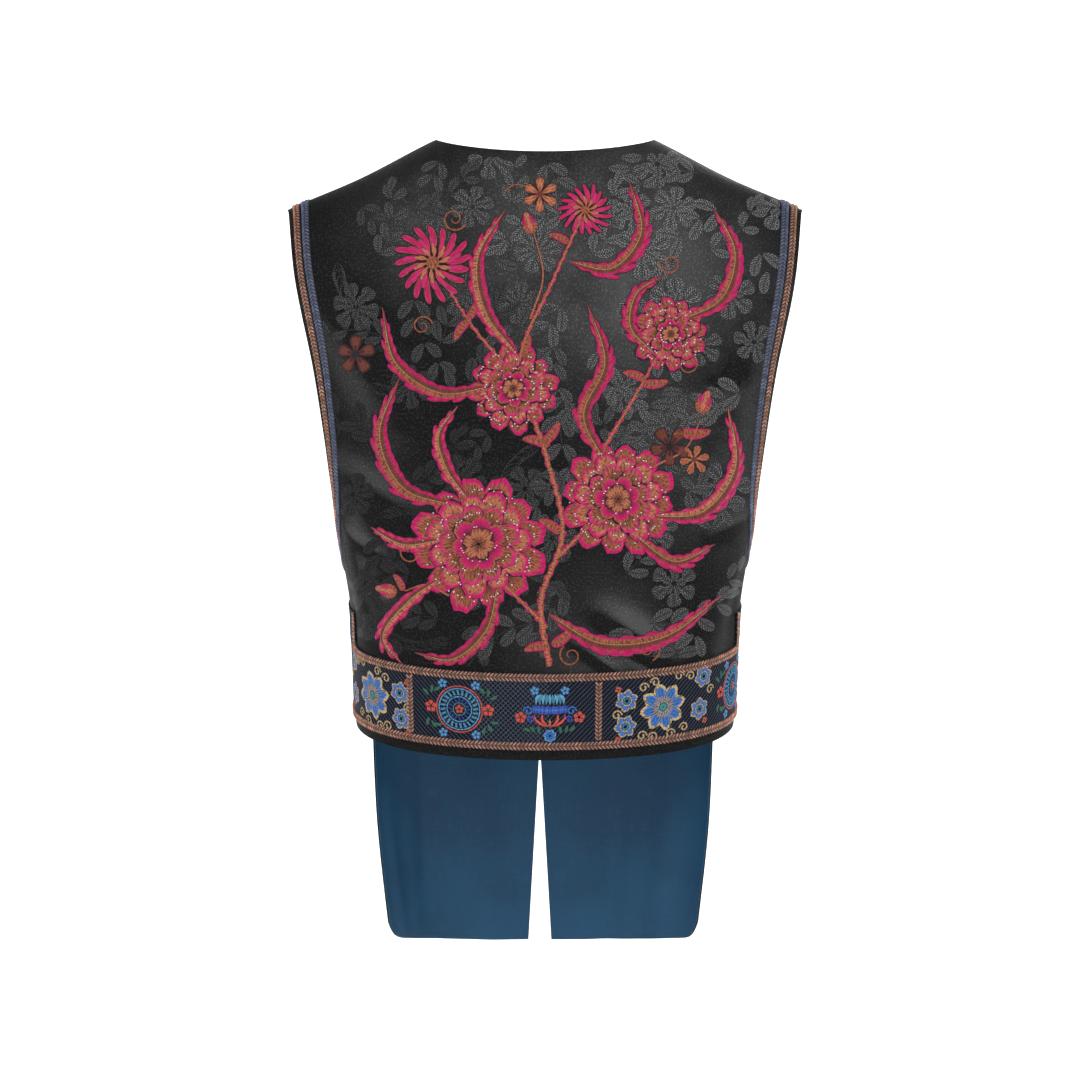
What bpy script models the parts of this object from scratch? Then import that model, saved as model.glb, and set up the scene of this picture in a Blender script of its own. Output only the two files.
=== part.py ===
"""Silk waistcoat with a short back, long fronts and side vents, filled out as if worn, with no wearer.

Metres, +Z up. The garment faces -Y and the wearer's left is +X. The origin is midway between the two
points where the shoulder seams meet the neck. The outside of the cloth is one surface of two numbers:
turn, the angle round the body from the centre back, and down, the distance below the shoulder seams.
"""

import math

import bpy
import numpy as np

# Driving dimensions of the cut
NECK_HALF = 0.106
SHOULDER_HALF = 0.250
SHOULDER_FALL = 0.068
SHOULDER_SAG = 0.003
BACK_NECK_Z = -0.018
BACK_NECK_ROUND = 0.65
BACK_HEM_Z = -0.594
BACK_HEM_LIFT_AT_SIDE = 0.032
FRONT_HEM_Z = -0.790
FRONT_HEM_LIFT_AT_SIDE = 0.009
FRONT_CORNER_LIFT = 0.016
FRONT_CORNER_START = 0.80
FRONT_CORNER_POWER = 5.0
V_NECK_DOWN = 0.235
V_NECK_POWER = 0.85
V_NECK_BELLY = 0.25
FRONT_PART_DOWN = 0.560
FRONT_PART_HALF = 0.0115
SIDE_TURN = math.radians(110)
UNDERARM_DOWN = 0.372
UNDERARM_ROUND = 0.050
VENT_TOP_DOWN = 0.402
VENT_PART = 0.006
VENT_PART_OVER = 0.080

# How the cloth rolls over the shoulders and hangs
SHOULDER_ROLL = 0.100
ROLL_DROP = 0.065
LEVEL_BY = 0.300
BOXINESS = 0.25
FRONT_SWAY = 0.005

# Thicknesses and gaps
BACK_WALL = 0.0020
FRONT_WALL = 0.0013
LINING_WALL = 0.0010
SEAM_GAP = 0.0003
TRIM_LIFT = 0.0007

# Braids and ribbon
EDGE_MARGIN = 0.005
COPPER_BRAID = 0.007
BRAID_GAP = 0.002
BLUE_BRAID = 0.008
BRAID_THICK = 0.0014
HEM_MARGIN = 0.009
RIBBON_WIDTH = 0.072
RIBBON_THICK = 0.0010
RIBBON_BRAID = 0.008
DIVIDER_WIDTH = 0.007
DIVIDER_PLACES = (0.128, -0.049)
DIVIDER_GAP = 0.0008

# Mesh fineness
NECK_COLUMNS = 6
SHOULDER_COLUMNS = 12
FRONT_COLUMNS = 13
ROLL_ROWS = 8
ARMHOLE_ROWS = 5
UNDERARM_ROWS = 6
BACK_ROWS_BELOW = 8
FRONT_ROWS_BELOW = 10
ARMHOLE_STATIONS = 92
ARMHOLE_CLOSER = 0.35
RIBBON_COLUMNS = 34
RIBBON_ROWS = 6
CLEAR_OF_BEND = 0.004
LEG_COLUMNS = 7
LEG_ROWS = 4
BELOW_ROW_POWER = 1.3
OUTER_BEND = 0.012
INNER_BEND = 0.006
BEND_POINTS = 4
SHARP_ANGLE = math.radians(50)

# Fineness of the lines that are measured and of the places that are searched for
TAPE_SAMPLES = 801
ARMHOLE_SAMPLES = 400
HALVINGS = 30
SLOPE_STEP = 1e-4
STEP_ROUNDS = 4

# Each row is a level: down the cloth, half width, depth of the back and of the front, and the
# angles in degrees of the armhole's back edge from the centre back and front edge from the centre front.
# The round bottom of the armhole carries both edges on to the side seam.
SECTIONS = [
    dict(down=0.000, half_width=0.275, back=0.062, front=0.054, back_edge=65.4, front_edge=65.4),
    dict(down=0.100, half_width=0.264, back=0.078, front=0.080, back_edge=66.0, front_edge=57.5),
    dict(down=0.200, half_width=0.237, back=0.096, front=0.102, back_edge=69.0, front_edge=55.0),
    dict(down=0.300, half_width=0.212, back=0.109, front=0.117, back_edge=76.5, front_edge=58.0),
    dict(down=0.372, half_width=0.197, back=0.114, front=0.122, back_edge=88.0, front_edge=62.0),
    dict(down=0.430, half_width=0.188, back=0.115, front=0.122, back_edge=88.0, front_edge=62.0),
    dict(down=0.530, half_width=0.183, back=0.116, front=0.120, back_edge=88.0, front_edge=62.0),
    dict(down=0.620, half_width=0.179, back=0.117, front=0.120, back_edge=88.0, front_edge=62.0),
    dict(down=0.760, half_width=0.163, back=0.118, front=0.124, back_edge=88.0, front_edge=62.0),
]

# Soft folds: the turn in degrees and the down of each end, the width of the fold and its height.
# A negative height is a trough.
FOLDS = [
    dict(turn_a=68, down_a=0.300, turn_b=63, down_b=0.450, width=0.018, height=0.0030),
    dict(turn_a=62, down_a=0.290, turn_b=38, down_b=0.330, width=0.016, height=0.0022),
    dict(turn_a=-18, down_a=0.425, turn_b=-37, down_b=0.464, width=0.012, height=0.0032),
    dict(turn_a=-84, down_a=0.365, turn_b=-64, down_b=0.470, width=0.017, height=-0.0026),
    dict(turn_a=84, down_a=0.360, turn_b=78, down_b=0.470, width=0.016, height=-0.0024),
    dict(turn_a=-60, down_a=0.140, turn_b=-48, down_b=0.300, width=0.022, height=0.0022),
    dict(turn_a=58, down_a=0.130, turn_b=40, down_b=0.250, width=0.020, height=-0.0020),
    dict(turn_a=138, down_a=0.360, turn_b=150, down_b=0.490, width=0.018, height=0.0030),
    dict(turn_a=-138, down_a=0.350, turn_b=-154, down_b=0.450, width=0.017, height=0.0028),
    dict(turn_a=140, down_a=0.560, turn_b=138, down_b=0.800, width=0.015, height=0.0050),
    dict(turn_a=161, down_a=0.600, turn_b=163, down_b=0.800, width=0.017, height=-0.0044),
    dict(turn_a=-136, down_a=0.580, turn_b=-133, down_b=0.800, width=0.017, height=-0.0046),
    dict(turn_a=-154, down_a=0.570, turn_b=-157, down_b=0.800, width=0.014, height=0.0050),
    dict(turn_a=120, down_a=0.600, turn_b=121, down_b=0.800, width=0.013, height=-0.0034),
]
FOLD_METRES_PER_TURN = 0.150
FOLD_END_SHARE = 0.12


def smooth(t):
    """An S-shaped ramp from 0 to 1."""
    t = np.clip(t, 0.0, 1.0)
    return t * t * (3 - 2 * t)


def section(down, column):
    """One column of SECTIONS at any level, by a monotone cubic through the rows."""
    at = np.array([row["down"] for row in SECTIONS])
    value = np.array([row[column] for row in SECTIONS])
    step = np.diff(at)
    slope = np.diff(value) / step
    tangent = np.zeros(len(at))
    tangent[0], tangent[-1] = slope[0], slope[-1]
    for k in range(1, len(slope)):
        if slope[k - 1] * slope[k] > 0:
            tangent[k] = 2 * slope[k - 1] * slope[k] / (slope[k - 1] + slope[k])
    down = np.clip(down, at[0], at[-1])
    i = np.clip(np.searchsorted(at, down, side="right") - 1, 0, len(step) - 1)
    t = (down - at[i]) / step[i]
    from_first = value[i] * (1 + 2 * t) + tangent[i] * step[i] * t
    from_next = value[i + 1] * (3 - 2 * t) + tangent[i + 1] * step[i] * (t - 1)
    return from_first * (1 - t) ** 2 + from_next * t * t


def edge_turn(down, column):
    """The angle of a panel's side edge: the armhole, round at its bottom, then the side seam and vent."""
    side = SIDE_TURN if column == "back_edge" else math.pi - SIDE_TURN
    edge = np.radians(section(down, column))
    t = np.clip((down - UNDERARM_DOWN) / UNDERARM_ROUND + 1, 0.0, 1.0)
    return edge + (side - edge) * (1 - np.sqrt(1 - t * t))


def shoulder_z(x):
    """Height of the shoulder seam's line, carried on over the neck as a rounded peak."""
    x = np.abs(x)
    length = SHOULDER_HALF - NECK_HALF
    slope = SHOULDER_FALL / length
    along = np.clip((x - NECK_HALF) / length, 0.0, 1.0)
    outside = -slope * (x - NECK_HALF) - SHOULDER_SAG * np.sin(math.pi * along) ** 2
    inside = slope * NECK_HALF / 2 * (1 - (x / NECK_HALF) ** 2)
    return np.where(x >= NECK_HALF, outside, inside)


def down_of(z):
    """The down at which level cloth, below the shoulders, lies at height z."""
    return SHOULDER_ROLL - SHOULDER_FALL - ROLL_DROP - z


def figure_point(turn, down):
    """The outside of the cloth with no folds."""
    angle = math.pi / 2 * np.clip(down / SHOULDER_ROLL, 0.0, 1.0)
    drop = ROLL_DROP * (1 - np.cos(angle)) + np.maximum(down - SHOULDER_ROLL, 0.0)
    depth = np.where(np.cos(turn) >= 0, section(down, "back"), section(down, "front"))
    x = section(down, "half_width") * np.sin(turn)
    y = depth * np.cos(turn) * (1 + BOXINESS * np.sin(turn) ** 2) * np.sin(angle)
    level = smooth(down / LEVEL_BY)
    z = -SHOULDER_FALL - drop + (shoulder_z(x) + SHOULDER_FALL) * (1 - level)
    sway = FRONT_SWAY * level * np.maximum(-np.cos(turn), 0.0)
    return np.stack(np.broadcast_arrays(x + sway, y, z), axis=-1)


def slopes_at(turn, down):
    """How the cloth's point changes with turn and with down."""
    along = figure_point(turn + SLOPE_STEP, down) - figure_point(turn - SLOPE_STEP, down)
    above, below = np.maximum(down - SLOPE_STEP, 0.0), down + SLOPE_STEP
    fall = figure_point(turn, below) - figure_point(turn, above)
    return along / (2 * SLOPE_STEP), fall / np.expand_dims(below - above, -1)


def unit(vectors):
    """The vectors, each made 1 long."""
    return vectors / np.linalg.norm(vectors, axis=-1, keepdims=True)


def normal_at(turn, down):
    """The direction out of the garment."""
    return unit(np.cross(*slopes_at(turn, down)))


def fold_height(turn, down):
    """How far the soft folds lift the cloth at a place."""
    across = np.asarray(turn) * FOLD_METRES_PER_TURN
    total = np.zeros(np.broadcast(turn, down).shape)
    for fold in FOLDS:
        ax, ay = math.radians(fold["turn_a"]) * FOLD_METRES_PER_TURN, fold["down_a"]
        bx, by = math.radians(fold["turn_b"]) * FOLD_METRES_PER_TURN, fold["down_b"]
        length = math.hypot(bx - ax, by - ay)
        t = ((across - ax) * (bx - ax) + (down - ay) * (by - ay)) / length**2
        t = np.clip(t, 0.0, 1.0)
        away = np.hypot(across - ax - (bx - ax) * t, down - ay - (by - ay) * t) / fold["width"]
        strength = np.sin(math.pi * (FOLD_END_SHARE + (1 - 2 * FOLD_END_SHARE) * t))
        total = total + fold["height"] * np.exp(-away * away) * strength
    return total


def cloth_point(turn, down, out=0.0):
    """A point of the outside of the cloth, or a distance out from it."""
    lift = np.expand_dims(fold_height(turn, down) + out, -1)
    return figure_point(turn, down) + normal_at(turn, down) * lift


def stepped(turn, down, move):
    """(turn, down) of the places a short vector away along the cloth."""
    goal = figure_point(turn, down) + move
    for _ in range(STEP_ROUNDS):
        along, fall = slopes_at(turn, down)
        gap = goal - figure_point(turn, down)
        a, b, c = (along * along).sum(-1), (along * fall).sum(-1), (fall * fall).sum(-1)
        p, q = (gap * along).sum(-1), (gap * fall).sum(-1)
        turn = turn + (p * c - q * b) / (a * c - b * b)
        down = np.maximum(down + (q * a - p * b) / (a * c - b * b), 0.0)
    return turn, down


def run_length(points):
    """The length along a line of points, from its first point to each of them."""
    steps = np.linalg.norm(np.diff(points, axis=0), axis=-1)
    return np.concatenate(([0.0], np.cumsum(steps)))


def back_hem_down(turn):
    """The back hem dips at the centre back and lifts towards the vents."""
    return down_of(BACK_HEM_Z + BACK_HEM_LIFT_AT_SIDE * (turn / (math.pi / 2)) ** 2)


def seam_down(turn):
    """How far below the shoulder line a panel's top edge starts, for half the seam's gap."""
    depth = np.abs(figure_point(turn, SEAM_GAP)[..., 1])
    return SEAM_GAP * SEAM_GAP / 2 / depth


def back_neck_down(share):
    """Where each column of the back meets the neck's edge, which dips to the centre back."""
    low, high = np.zeros(len(share)), np.full(len(share), SHOULDER_ROLL)
    for _ in range(HALVINGS):
        middle = (low + high) / 2
        x, _, z = np.moveaxis(figure_point(share * edge_turn(middle, "back_edge"), middle), -1, 0)
        edge = BACK_NECK_Z * (1 - np.minimum(np.abs(x) / NECK_HALF, 1.0) ** 2) ** BACK_NECK_ROUND
        low, high = np.where(z > edge, middle, low), np.where(z > edge, high, middle)
    return high


def levels_to(hem, rows_below):
    """The rows of a panel, close together over the shoulder and round the bottom of the armhole."""
    underarm_from = UNDERARM_DOWN - UNDERARM_ROUND
    return np.concatenate([
        np.linspace(0, SHOULDER_ROLL, ROLL_ROWS, endpoint=False),
        np.linspace(SHOULDER_ROLL, underarm_from, ARMHOLE_ROWS, endpoint=False),
        np.linspace(underarm_from, UNDERARM_DOWN, UNDERARM_ROWS, endpoint=False),
        UNDERARM_DOWN + (hem - UNDERARM_DOWN) * np.linspace(0, 1, rows_below + 1) ** BELOW_ROW_POWER,
    ])


def back_places():
    """The back's grid: rows down from the shoulder seams and neck, columns from side to side."""
    neck = np.sin(np.linspace(0, math.pi / 2, NECK_COLUMNS + 1)) * NECK_HALF
    neck = np.arcsin(neck / section(0.0, "half_width")) / edge_turn(0.0, "back_edge")
    half = np.concatenate([neck, np.linspace(neck[-1], 1.0, SHOULDER_COLUMNS + 1)[1:]])
    share = np.concatenate([-half[:0:-1], half])
    top = np.maximum(back_neck_down(share), seam_down(share * edge_turn(0.0, "back_edge")))
    hem = back_hem_down(share * SIDE_TURN)
    fall = levels_to(hem[-1], BACK_ROWS_BELOW)[:, None] / hem[-1]
    down = top + (hem - top) * fall
    half_gap = SEAM_GAP / 2 / section(down, "back")
    return share * (edge_turn(down, "back_edge") - half_gap), down


def front_places(side):
    """One front's grid: rows down from the shoulder seam, columns from the opening to the side."""
    share = np.linspace(0, 1, FRONT_COLUMNS + 1)
    level = levels_to(down_of(FRONT_HEM_Z), FRONT_ROWS_BELOW)[:, None]
    corner = np.clip((share - FRONT_CORNER_START) / (1 - FRONT_CORNER_START), 0, 1)
    below = smooth((level - UNDERARM_DOWN) / (level[-1] - UNDERARM_DOWN))
    lift = FRONT_HEM_LIFT_AT_SIDE * share**2 + FRONT_CORNER_LIFT * corner**FRONT_CORNER_POWER
    down = level - lift * below
    inner = opening_turn(down)
    outer = edge_turn(down, "front_edge") - SEAM_GAP / 2 / section(down, "front") - vent_turn(down)
    turn = math.pi - (inner + (outer - inner) * share)
    return side * turn, np.maximum(down, seam_down(turn))


def opening_turn(down):
    """The angle of a front's inner edge from the centre front: a V neck, edge to edge, then parting."""
    width = section(down, "half_width")
    neck = np.arcsin(NECK_HALF / section(0.0, "half_width"))
    t = np.clip(down / V_NECK_DOWN, 0.0, 1.0)
    v_neck = neck * (1 - t) ** V_NECK_POWER * (1 + V_NECK_BELLY * t)
    part = np.clip((down - FRONT_PART_DOWN) / (down_of(FRONT_HEM_Z) - FRONT_PART_DOWN), 0.0, 1.0)
    return v_neck + (SEAM_GAP / 2 + FRONT_PART_HALF * part) / width


def vent_turn(down):
    """How far a front's side edge stands off the back's at the vent, as an angle."""
    return VENT_PART * smooth((down - VENT_TOP_DOWN) / VENT_PART_OVER) / section(down, "front")


def armhole_path(side):
    """The armhole's edge, from the shoulder down the back and up the front, finest at the shoulder."""
    level = UNDERARM_DOWN * np.sin(np.linspace(0, math.pi / 2, ARMHOLE_SAMPLES))
    turn = np.concatenate([edge_turn(level, "back_edge"), math.pi - edge_turn(level, "front_edge")[::-1]])
    down = np.concatenate([level, level[::-1]])
    length = run_length(figure_point(turn, down))
    round_share = np.linspace(0, 1, ARMHOLE_STATIONS, endpoint=False)
    closer = ARMHOLE_CLOSER * np.sin(2 * math.pi * round_share) / (2 * math.pi)
    at = (round_share - closer) * length[-1]
    return side * np.interp(at, length, turn), np.interp(at, length, down)


def tape():
    """Turns along a tape laid level round the back from vent to vent, and its length up to each."""
    turn = np.linspace(-SIDE_TURN, SIDE_TURN, TAPE_SAMPLES)
    return turn, run_length(figure_point(turn, back_hem_down(0.0)))


def tape_half():
    """Half the tape's length."""
    return tape()[1][-1] / 2


def on_hem(along, height):
    """(turn, down) of the places a tape's length from the centre back and a height above the hem."""
    turn, length = tape()
    turn = np.interp(along + length[-1] / 2, length, turn)
    return turn, back_hem_down(turn) - height


def ribbon_columns():
    """Tape lengths from the centre back at which the hem ribbon has its columns."""
    end = tape_half() - HEM_MARGIN
    return np.linspace(-end, end, RIBBON_COLUMNS + 1)


def framed_path(inset, corner):
    """A path up one vent edge, along the hem and up the other, at an inset from the edges."""
    end = tape_half() - inset
    top = back_hem_down(SIDE_TURN) - VENT_TOP_DOWN
    bend = np.linspace(0, math.pi / 2, BEND_POINTS)
    half_along = np.concatenate([np.full(LEG_ROWS, end), end - corner * (1 - np.cos(bend))])
    half_height = np.concatenate([
        np.linspace(top, inset + corner, LEG_ROWS, endpoint=False),
        inset + corner * (1 - np.sin(bend)),
    ])
    along = [place for place in ribbon_columns()[::-1] if abs(place) < end - corner - CLEAR_OF_BEND]
    return on_hem(
        np.concatenate([half_along, along, -half_along[::-1]]),
        np.concatenate([half_height, np.full(len(along), inset), half_height[::-1]]),
    )


def rails(path, near, far, side=1, closed=False):
    """Grid of two lines beside a path, at two distances to its inner side."""
    turn, down = path
    points = figure_point(turn, down)
    if closed:
        tangent = np.roll(points, -1, axis=0) - np.roll(points, 1, axis=0)
    else:
        tangent = np.gradient(points, axis=0)
    across = unit(np.cross(normal_at(turn, down), tangent)) * side
    lines = [stepped(turn, down, across * reach) for reach in (near, far)]
    return np.stack([line[0] for line in lines], -1), np.stack([line[1] for line in lines], -1)


def wall(name, places, outer, inner, material, closed=False):
    """A closed wall over a grid of places, between two distances out from the cloth.

    The rows of a closed grid run round to the first row again. Its squares are split along mirrored
    diagonals on the two sides of its middle column.
    """
    turn, down = places
    rows, columns = turn.shape
    sheets = [cloth_point(turn, down, out).reshape(-1, 3) for out in (outer, inner)]
    vertices = np.concatenate(sheets)
    count = rows * columns
    faces = []
    for r in range(rows if closed else rows - 1):
        for c in range(columns - 1):
            here, below = r * columns + c, (r + 1) % rows * columns + c
            if c < (columns - 1) / 2:
                faces += [[here, below, here + 1], [below, below + 1, here + 1]]
            else:
                faces += [[here, below, below + 1], [here, below + 1, here + 1]]
    edges = {(face[k - 1], face[k]): None for face in faces for k in range(3)}
    rim = [(a, b) for a, b in edges if (b, a) not in edges]
    faces += [[count + place for place in face[::-1]] for face in faces]
    faces += [[b, a, count + a] for a, b in rim]
    faces += [[b, count + a, count + b] for a, b in rim]
    return make_object(name, vertices, outward(vertices, faces), material)


def outward(vertices, faces):
    """The faces, turned over if the closed shape they make is inside out."""
    a, b, c = (vertices[[face[k] for face in faces]] for k in range(3))
    volume = (a * np.cross(b, c)).sum()
    return faces if volume > 0 else [face[::-1] for face in faces]


def make_object(name, vertices, faces, material):
    """A mesh object, shaded smooth but for its edges."""
    mesh = bpy.data.meshes.new(name)
    mesh.from_pydata(vertices.tolist(), [], faces)
    mesh.shade_smooth()
    mesh.set_sharp_from_angle(angle=SHARP_ANGLE)
    mesh.materials.append(material)
    made = bpy.data.objects.new(name, mesh)
    bpy.context.scene.collection.objects.link(made)
    return made


def make_material(name, colour, roughness, metallic=0.0):
    """A plain Principled material."""
    material = bpy.data.materials.new(name)
    material.use_nodes = True
    shader = material.node_tree.nodes["Principled BSDF"]
    shader.inputs["Base Color"].default_value = (*colour, 1)
    shader.inputs["Roughness"].default_value = roughness
    shader.inputs["Metallic"].default_value = metallic
    return material


def panels(silk, lining):
    """The back, and the two fronts with the lining that shows below the back's hem."""
    wall("back_panel", back_places(), 0.0, -BACK_WALL, silk)
    for side, word in ((1, "left"), (-1, "right")):
        places = front_places(side)
        wall(f"front_{word}", places, 0.0, -FRONT_WALL, silk)
        inside = -FRONT_WALL - SEAM_GAP
        wall(f"front_lining_{word}", places, inside, inside - LINING_WALL, lining)


def armhole_braids(copper, blue):
    """A copper and a blue braid round each armhole."""
    copper_far = EDGE_MARGIN + COPPER_BRAID
    blue_near = copper_far + BRAID_GAP
    for side, word in ((1, "left"), (-1, "right")):
        path = armhole_path(side)
        copper_rails = rails(path, EDGE_MARGIN, copper_far, side, closed=True)
        blue_rails = rails(path, blue_near, blue_near + BLUE_BRAID, side, closed=True)
        top = TRIM_LIFT + BRAID_THICK
        wall(f"armhole_copper_braid_{word}", copper_rails, top, TRIM_LIFT, copper, closed=True)
        wall(f"armhole_blue_braid_{word}", blue_rails, top, TRIM_LIFT, blue, closed=True)


def hem_ribbon(material):
    """The wide ribbon along the back hem, and its two shorter pieces up the vents."""
    end = tape_half()
    low, high = HEM_MARGIN, HEM_MARGIN + RIBBON_WIDTH
    top = TRIM_LIFT + RIBBON_THICK
    height, along = np.meshgrid(
        np.linspace(low, high, RIBBON_ROWS + 1),
        ribbon_columns(),
        indexing="ij",
    )
    wall("hem_ribbon", on_hem(along, height), top, TRIM_LIFT, material)
    leg_top = back_hem_down(SIDE_TURN) - VENT_TOP_DOWN
    height, along = np.meshgrid(
        np.linspace(high + SEAM_GAP, leg_top, LEG_ROWS + 1),
        np.linspace(end - high, end - low, LEG_COLUMNS + 1),
        indexing="ij",
    )
    for side, word in ((1, "left"), (-1, "right")):
        wall(f"vent_ribbon_{word}", on_hem(side * along, height), top, TRIM_LIFT, material)


def ribbon_braids(copper):
    """Braids on both edges of the ribbon, and across it between its motifs."""
    half = RIBBON_BRAID / 2
    low, high = HEM_MARGIN + half, HEM_MARGIN + RIBBON_WIDTH - half
    under = TRIM_LIFT + RIBBON_THICK + SEAM_GAP
    top = under + BRAID_THICK
    wall("ribbon_outer_braid", rails(framed_path(low, OUTER_BEND), -half, half), top, under, copper)
    wall("ribbon_inner_braid", rails(framed_path(high, INNER_BEND), -half, half), top, under, copper)
    height = np.linspace(low + half + DIVIDER_GAP, high - half - DIVIDER_GAP, RIBBON_ROWS + 1)
    for number, place in enumerate(DIVIDER_PLACES, 1):
        across = rails(on_hem(place, height), -DIVIDER_WIDTH / 2, DIVIDER_WIDTH / 2)
        wall(f"ribbon_divider_{number}", across, top, under, copper)


def main():
    for old in list(bpy.data.objects):
        bpy.data.objects.remove(old)
    silk = make_material("black_silk", (0.012, 0.012, 0.014), 0.35)
    lining = make_material("blue_lining", (0.010, 0.065, 0.150), 0.5)
    copper = make_material("copper_braid", (0.50, 0.22, 0.11), 0.45, 0.3)
    blue = make_material("blue_braid", (0.035, 0.060, 0.150), 0.5)
    ribbon = make_material("woven_ribbon", (0.020, 0.030, 0.070), 0.5)
    panels(silk, lining)
    armhole_braids(copper, blue)
    hem_ribbon(ribbon)
    ribbon_braids(copper)


main()
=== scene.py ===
import math

import bpy
import numpy as np
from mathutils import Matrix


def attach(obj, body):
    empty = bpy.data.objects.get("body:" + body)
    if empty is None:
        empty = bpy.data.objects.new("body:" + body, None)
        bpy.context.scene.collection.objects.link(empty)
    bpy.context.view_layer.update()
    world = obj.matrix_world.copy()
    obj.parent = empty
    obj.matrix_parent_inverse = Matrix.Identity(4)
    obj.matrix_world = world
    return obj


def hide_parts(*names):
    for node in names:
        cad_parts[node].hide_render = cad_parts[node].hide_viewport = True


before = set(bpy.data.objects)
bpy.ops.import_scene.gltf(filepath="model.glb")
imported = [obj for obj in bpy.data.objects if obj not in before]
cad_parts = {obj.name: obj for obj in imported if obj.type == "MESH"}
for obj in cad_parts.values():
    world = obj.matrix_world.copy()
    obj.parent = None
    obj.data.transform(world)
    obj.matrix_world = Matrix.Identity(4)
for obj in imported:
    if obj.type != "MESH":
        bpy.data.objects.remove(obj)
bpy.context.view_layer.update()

# The waistcoat is filled out as if worn and faces -Y, so the camera looks at its back from +Y.
# The outside of the cloth is one surface of two numbers: turn, the angle round the body from the
# centre back, and down, the distance below the shoulder seams. A layout is flat, in millimetres
# right of the centre and up, as someone sees it who stands behind the waistcoat.


def table(columns, *rows):
    """Rows whose values are named by the columns."""
    return [dict(zip(columns.split(), row)) for row in rows]


# Camera
CAMERA_PLACE = (0.00485, 3.2, -0.388)
CAMERA_VIEW_WIDTH = 1.0476
SENSOR = 36.0

# Studio: soft square lights, and a round floor whose edge sweeps up into a wall
LIGHTS = table(
    "name place size watts",
    ("key", (-0.9, 2.1, 1.5), 1.0, 23),
    ("fill", (2.2, 1.8, 0.4), 1.4, 8),
    ("front", (-0.8, -2.6, 1.1), 1.4, 22),
)
LIGHTS_AIM = (0.0, 0.0, -0.40)
WORLD_STRENGTH = 0.52
FLOOR_GLOW = 0.50
FLOOR_Z = -0.83
FLOOR_RINGS = (0.02, 2.0, 4.5)
FLOOR_FLAT = 7.0
FLOOR_SWEEP = 3.0
WALL_HEIGHT = 9.0
FLOOR_SPOKES = 64

# The cut
NECK_HALF = 0.106
SHOULDER_HALF = 0.250
SHOULDER_FALL = 0.068
SHOULDER_SAG = 0.003
BACK_NECK_Z = -0.018
BACK_NECK_ROUND = 0.65
BACK_HEM_Z = -0.594
BACK_HEM_LIFT_AT_SIDE = 0.032
FRONT_HEM_Z = -0.790
FRONT_HEM_LIFT_AT_SIDE = 0.009
FRONT_CORNER_LIFT = 0.016
FRONT_CORNER_START = 0.80
FRONT_CORNER_POWER = 5.0
V_NECK_DOWN = 0.235
V_NECK_POWER = 0.85
V_NECK_BELLY = 0.25
FRONT_PART_DOWN = 0.560
FRONT_PART_HALF = 0.0115
SIDE_TURN = math.radians(110)
UNDERARM_DOWN = 0.372
UNDERARM_ROUND = 0.050
VENT_TOP_DOWN = 0.402
VENT_PART = 0.006
VENT_PART_OVER = 0.080

# How the cloth rolls over the shoulders and hangs
SHOULDER_ROLL = 0.100
ROLL_DROP = 0.065
LEVEL_BY = 0.300
BOXINESS = 0.25
FRONT_SWAY = 0.005

# Thicknesses and gaps
BACK_WALL = 0.0020
FRONT_WALL = 0.0013
LINING_WALL = 0.0010
SEAM_GAP = 0.00006
LINING_GAP = 0.0003
TRIM_LIFT = 0.0007

# Braids and ribbon
EDGE_MARGIN = 0.005
COPPER_BRAID = 0.007
BRAID_GAP = 0.002
BLUE_BRAID = 0.008
HEM_MARGIN = 0.009
RIBBON_WIDTH = 0.072
RIBBON_THICK = 0.0010
RIBBON_BRAID = 0.008
DIVIDER_WIDTH = 0.007
DIVIDER_PLACES = (0.128, -0.049)
DIVIDER_GAP = 0.0008

SIDES = ((1, "left"), (-1, "right"))

# Mesh fineness
BACK_COLUMNS = 200
NECK_SHARE_OF_COLUMNS = 0.44
FRONT_COLUMNS = 84
ROLL_ROWS = 34
ARMHOLE_ROWS = 26
UNDERARM_ROWS = 22
BACK_ROWS_BELOW = 52
FRONT_ROWS_BELOW = 84
PATH_STATIONS = 420

# Each row is a level: down the cloth, half width, depth of the back and of the front, and the
# angles in degrees of the armhole's back edge from the centre back and front edge from the centre front.
SECTIONS = table(
    "down half_width back front back_edge front_edge",
    (0.000, 0.275, 0.062, 0.054, 65.4, 65.4),
    (0.100, 0.264, 0.078, 0.080, 66.0, 57.5),
    (0.200, 0.237, 0.096, 0.102, 69.0, 55.0),
    (0.300, 0.212, 0.109, 0.117, 76.5, 58.0),
    (0.372, 0.197, 0.114, 0.122, 88.0, 62.0),
    (0.430, 0.188, 0.115, 0.122, 88.0, 62.0),
    (0.530, 0.183, 0.116, 0.120, 88.0, 62.0),
    (0.620, 0.179, 0.117, 0.120, 88.0, 62.0),
    (0.760, 0.163, 0.118, 0.124, 88.0, 62.0),
)

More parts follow.
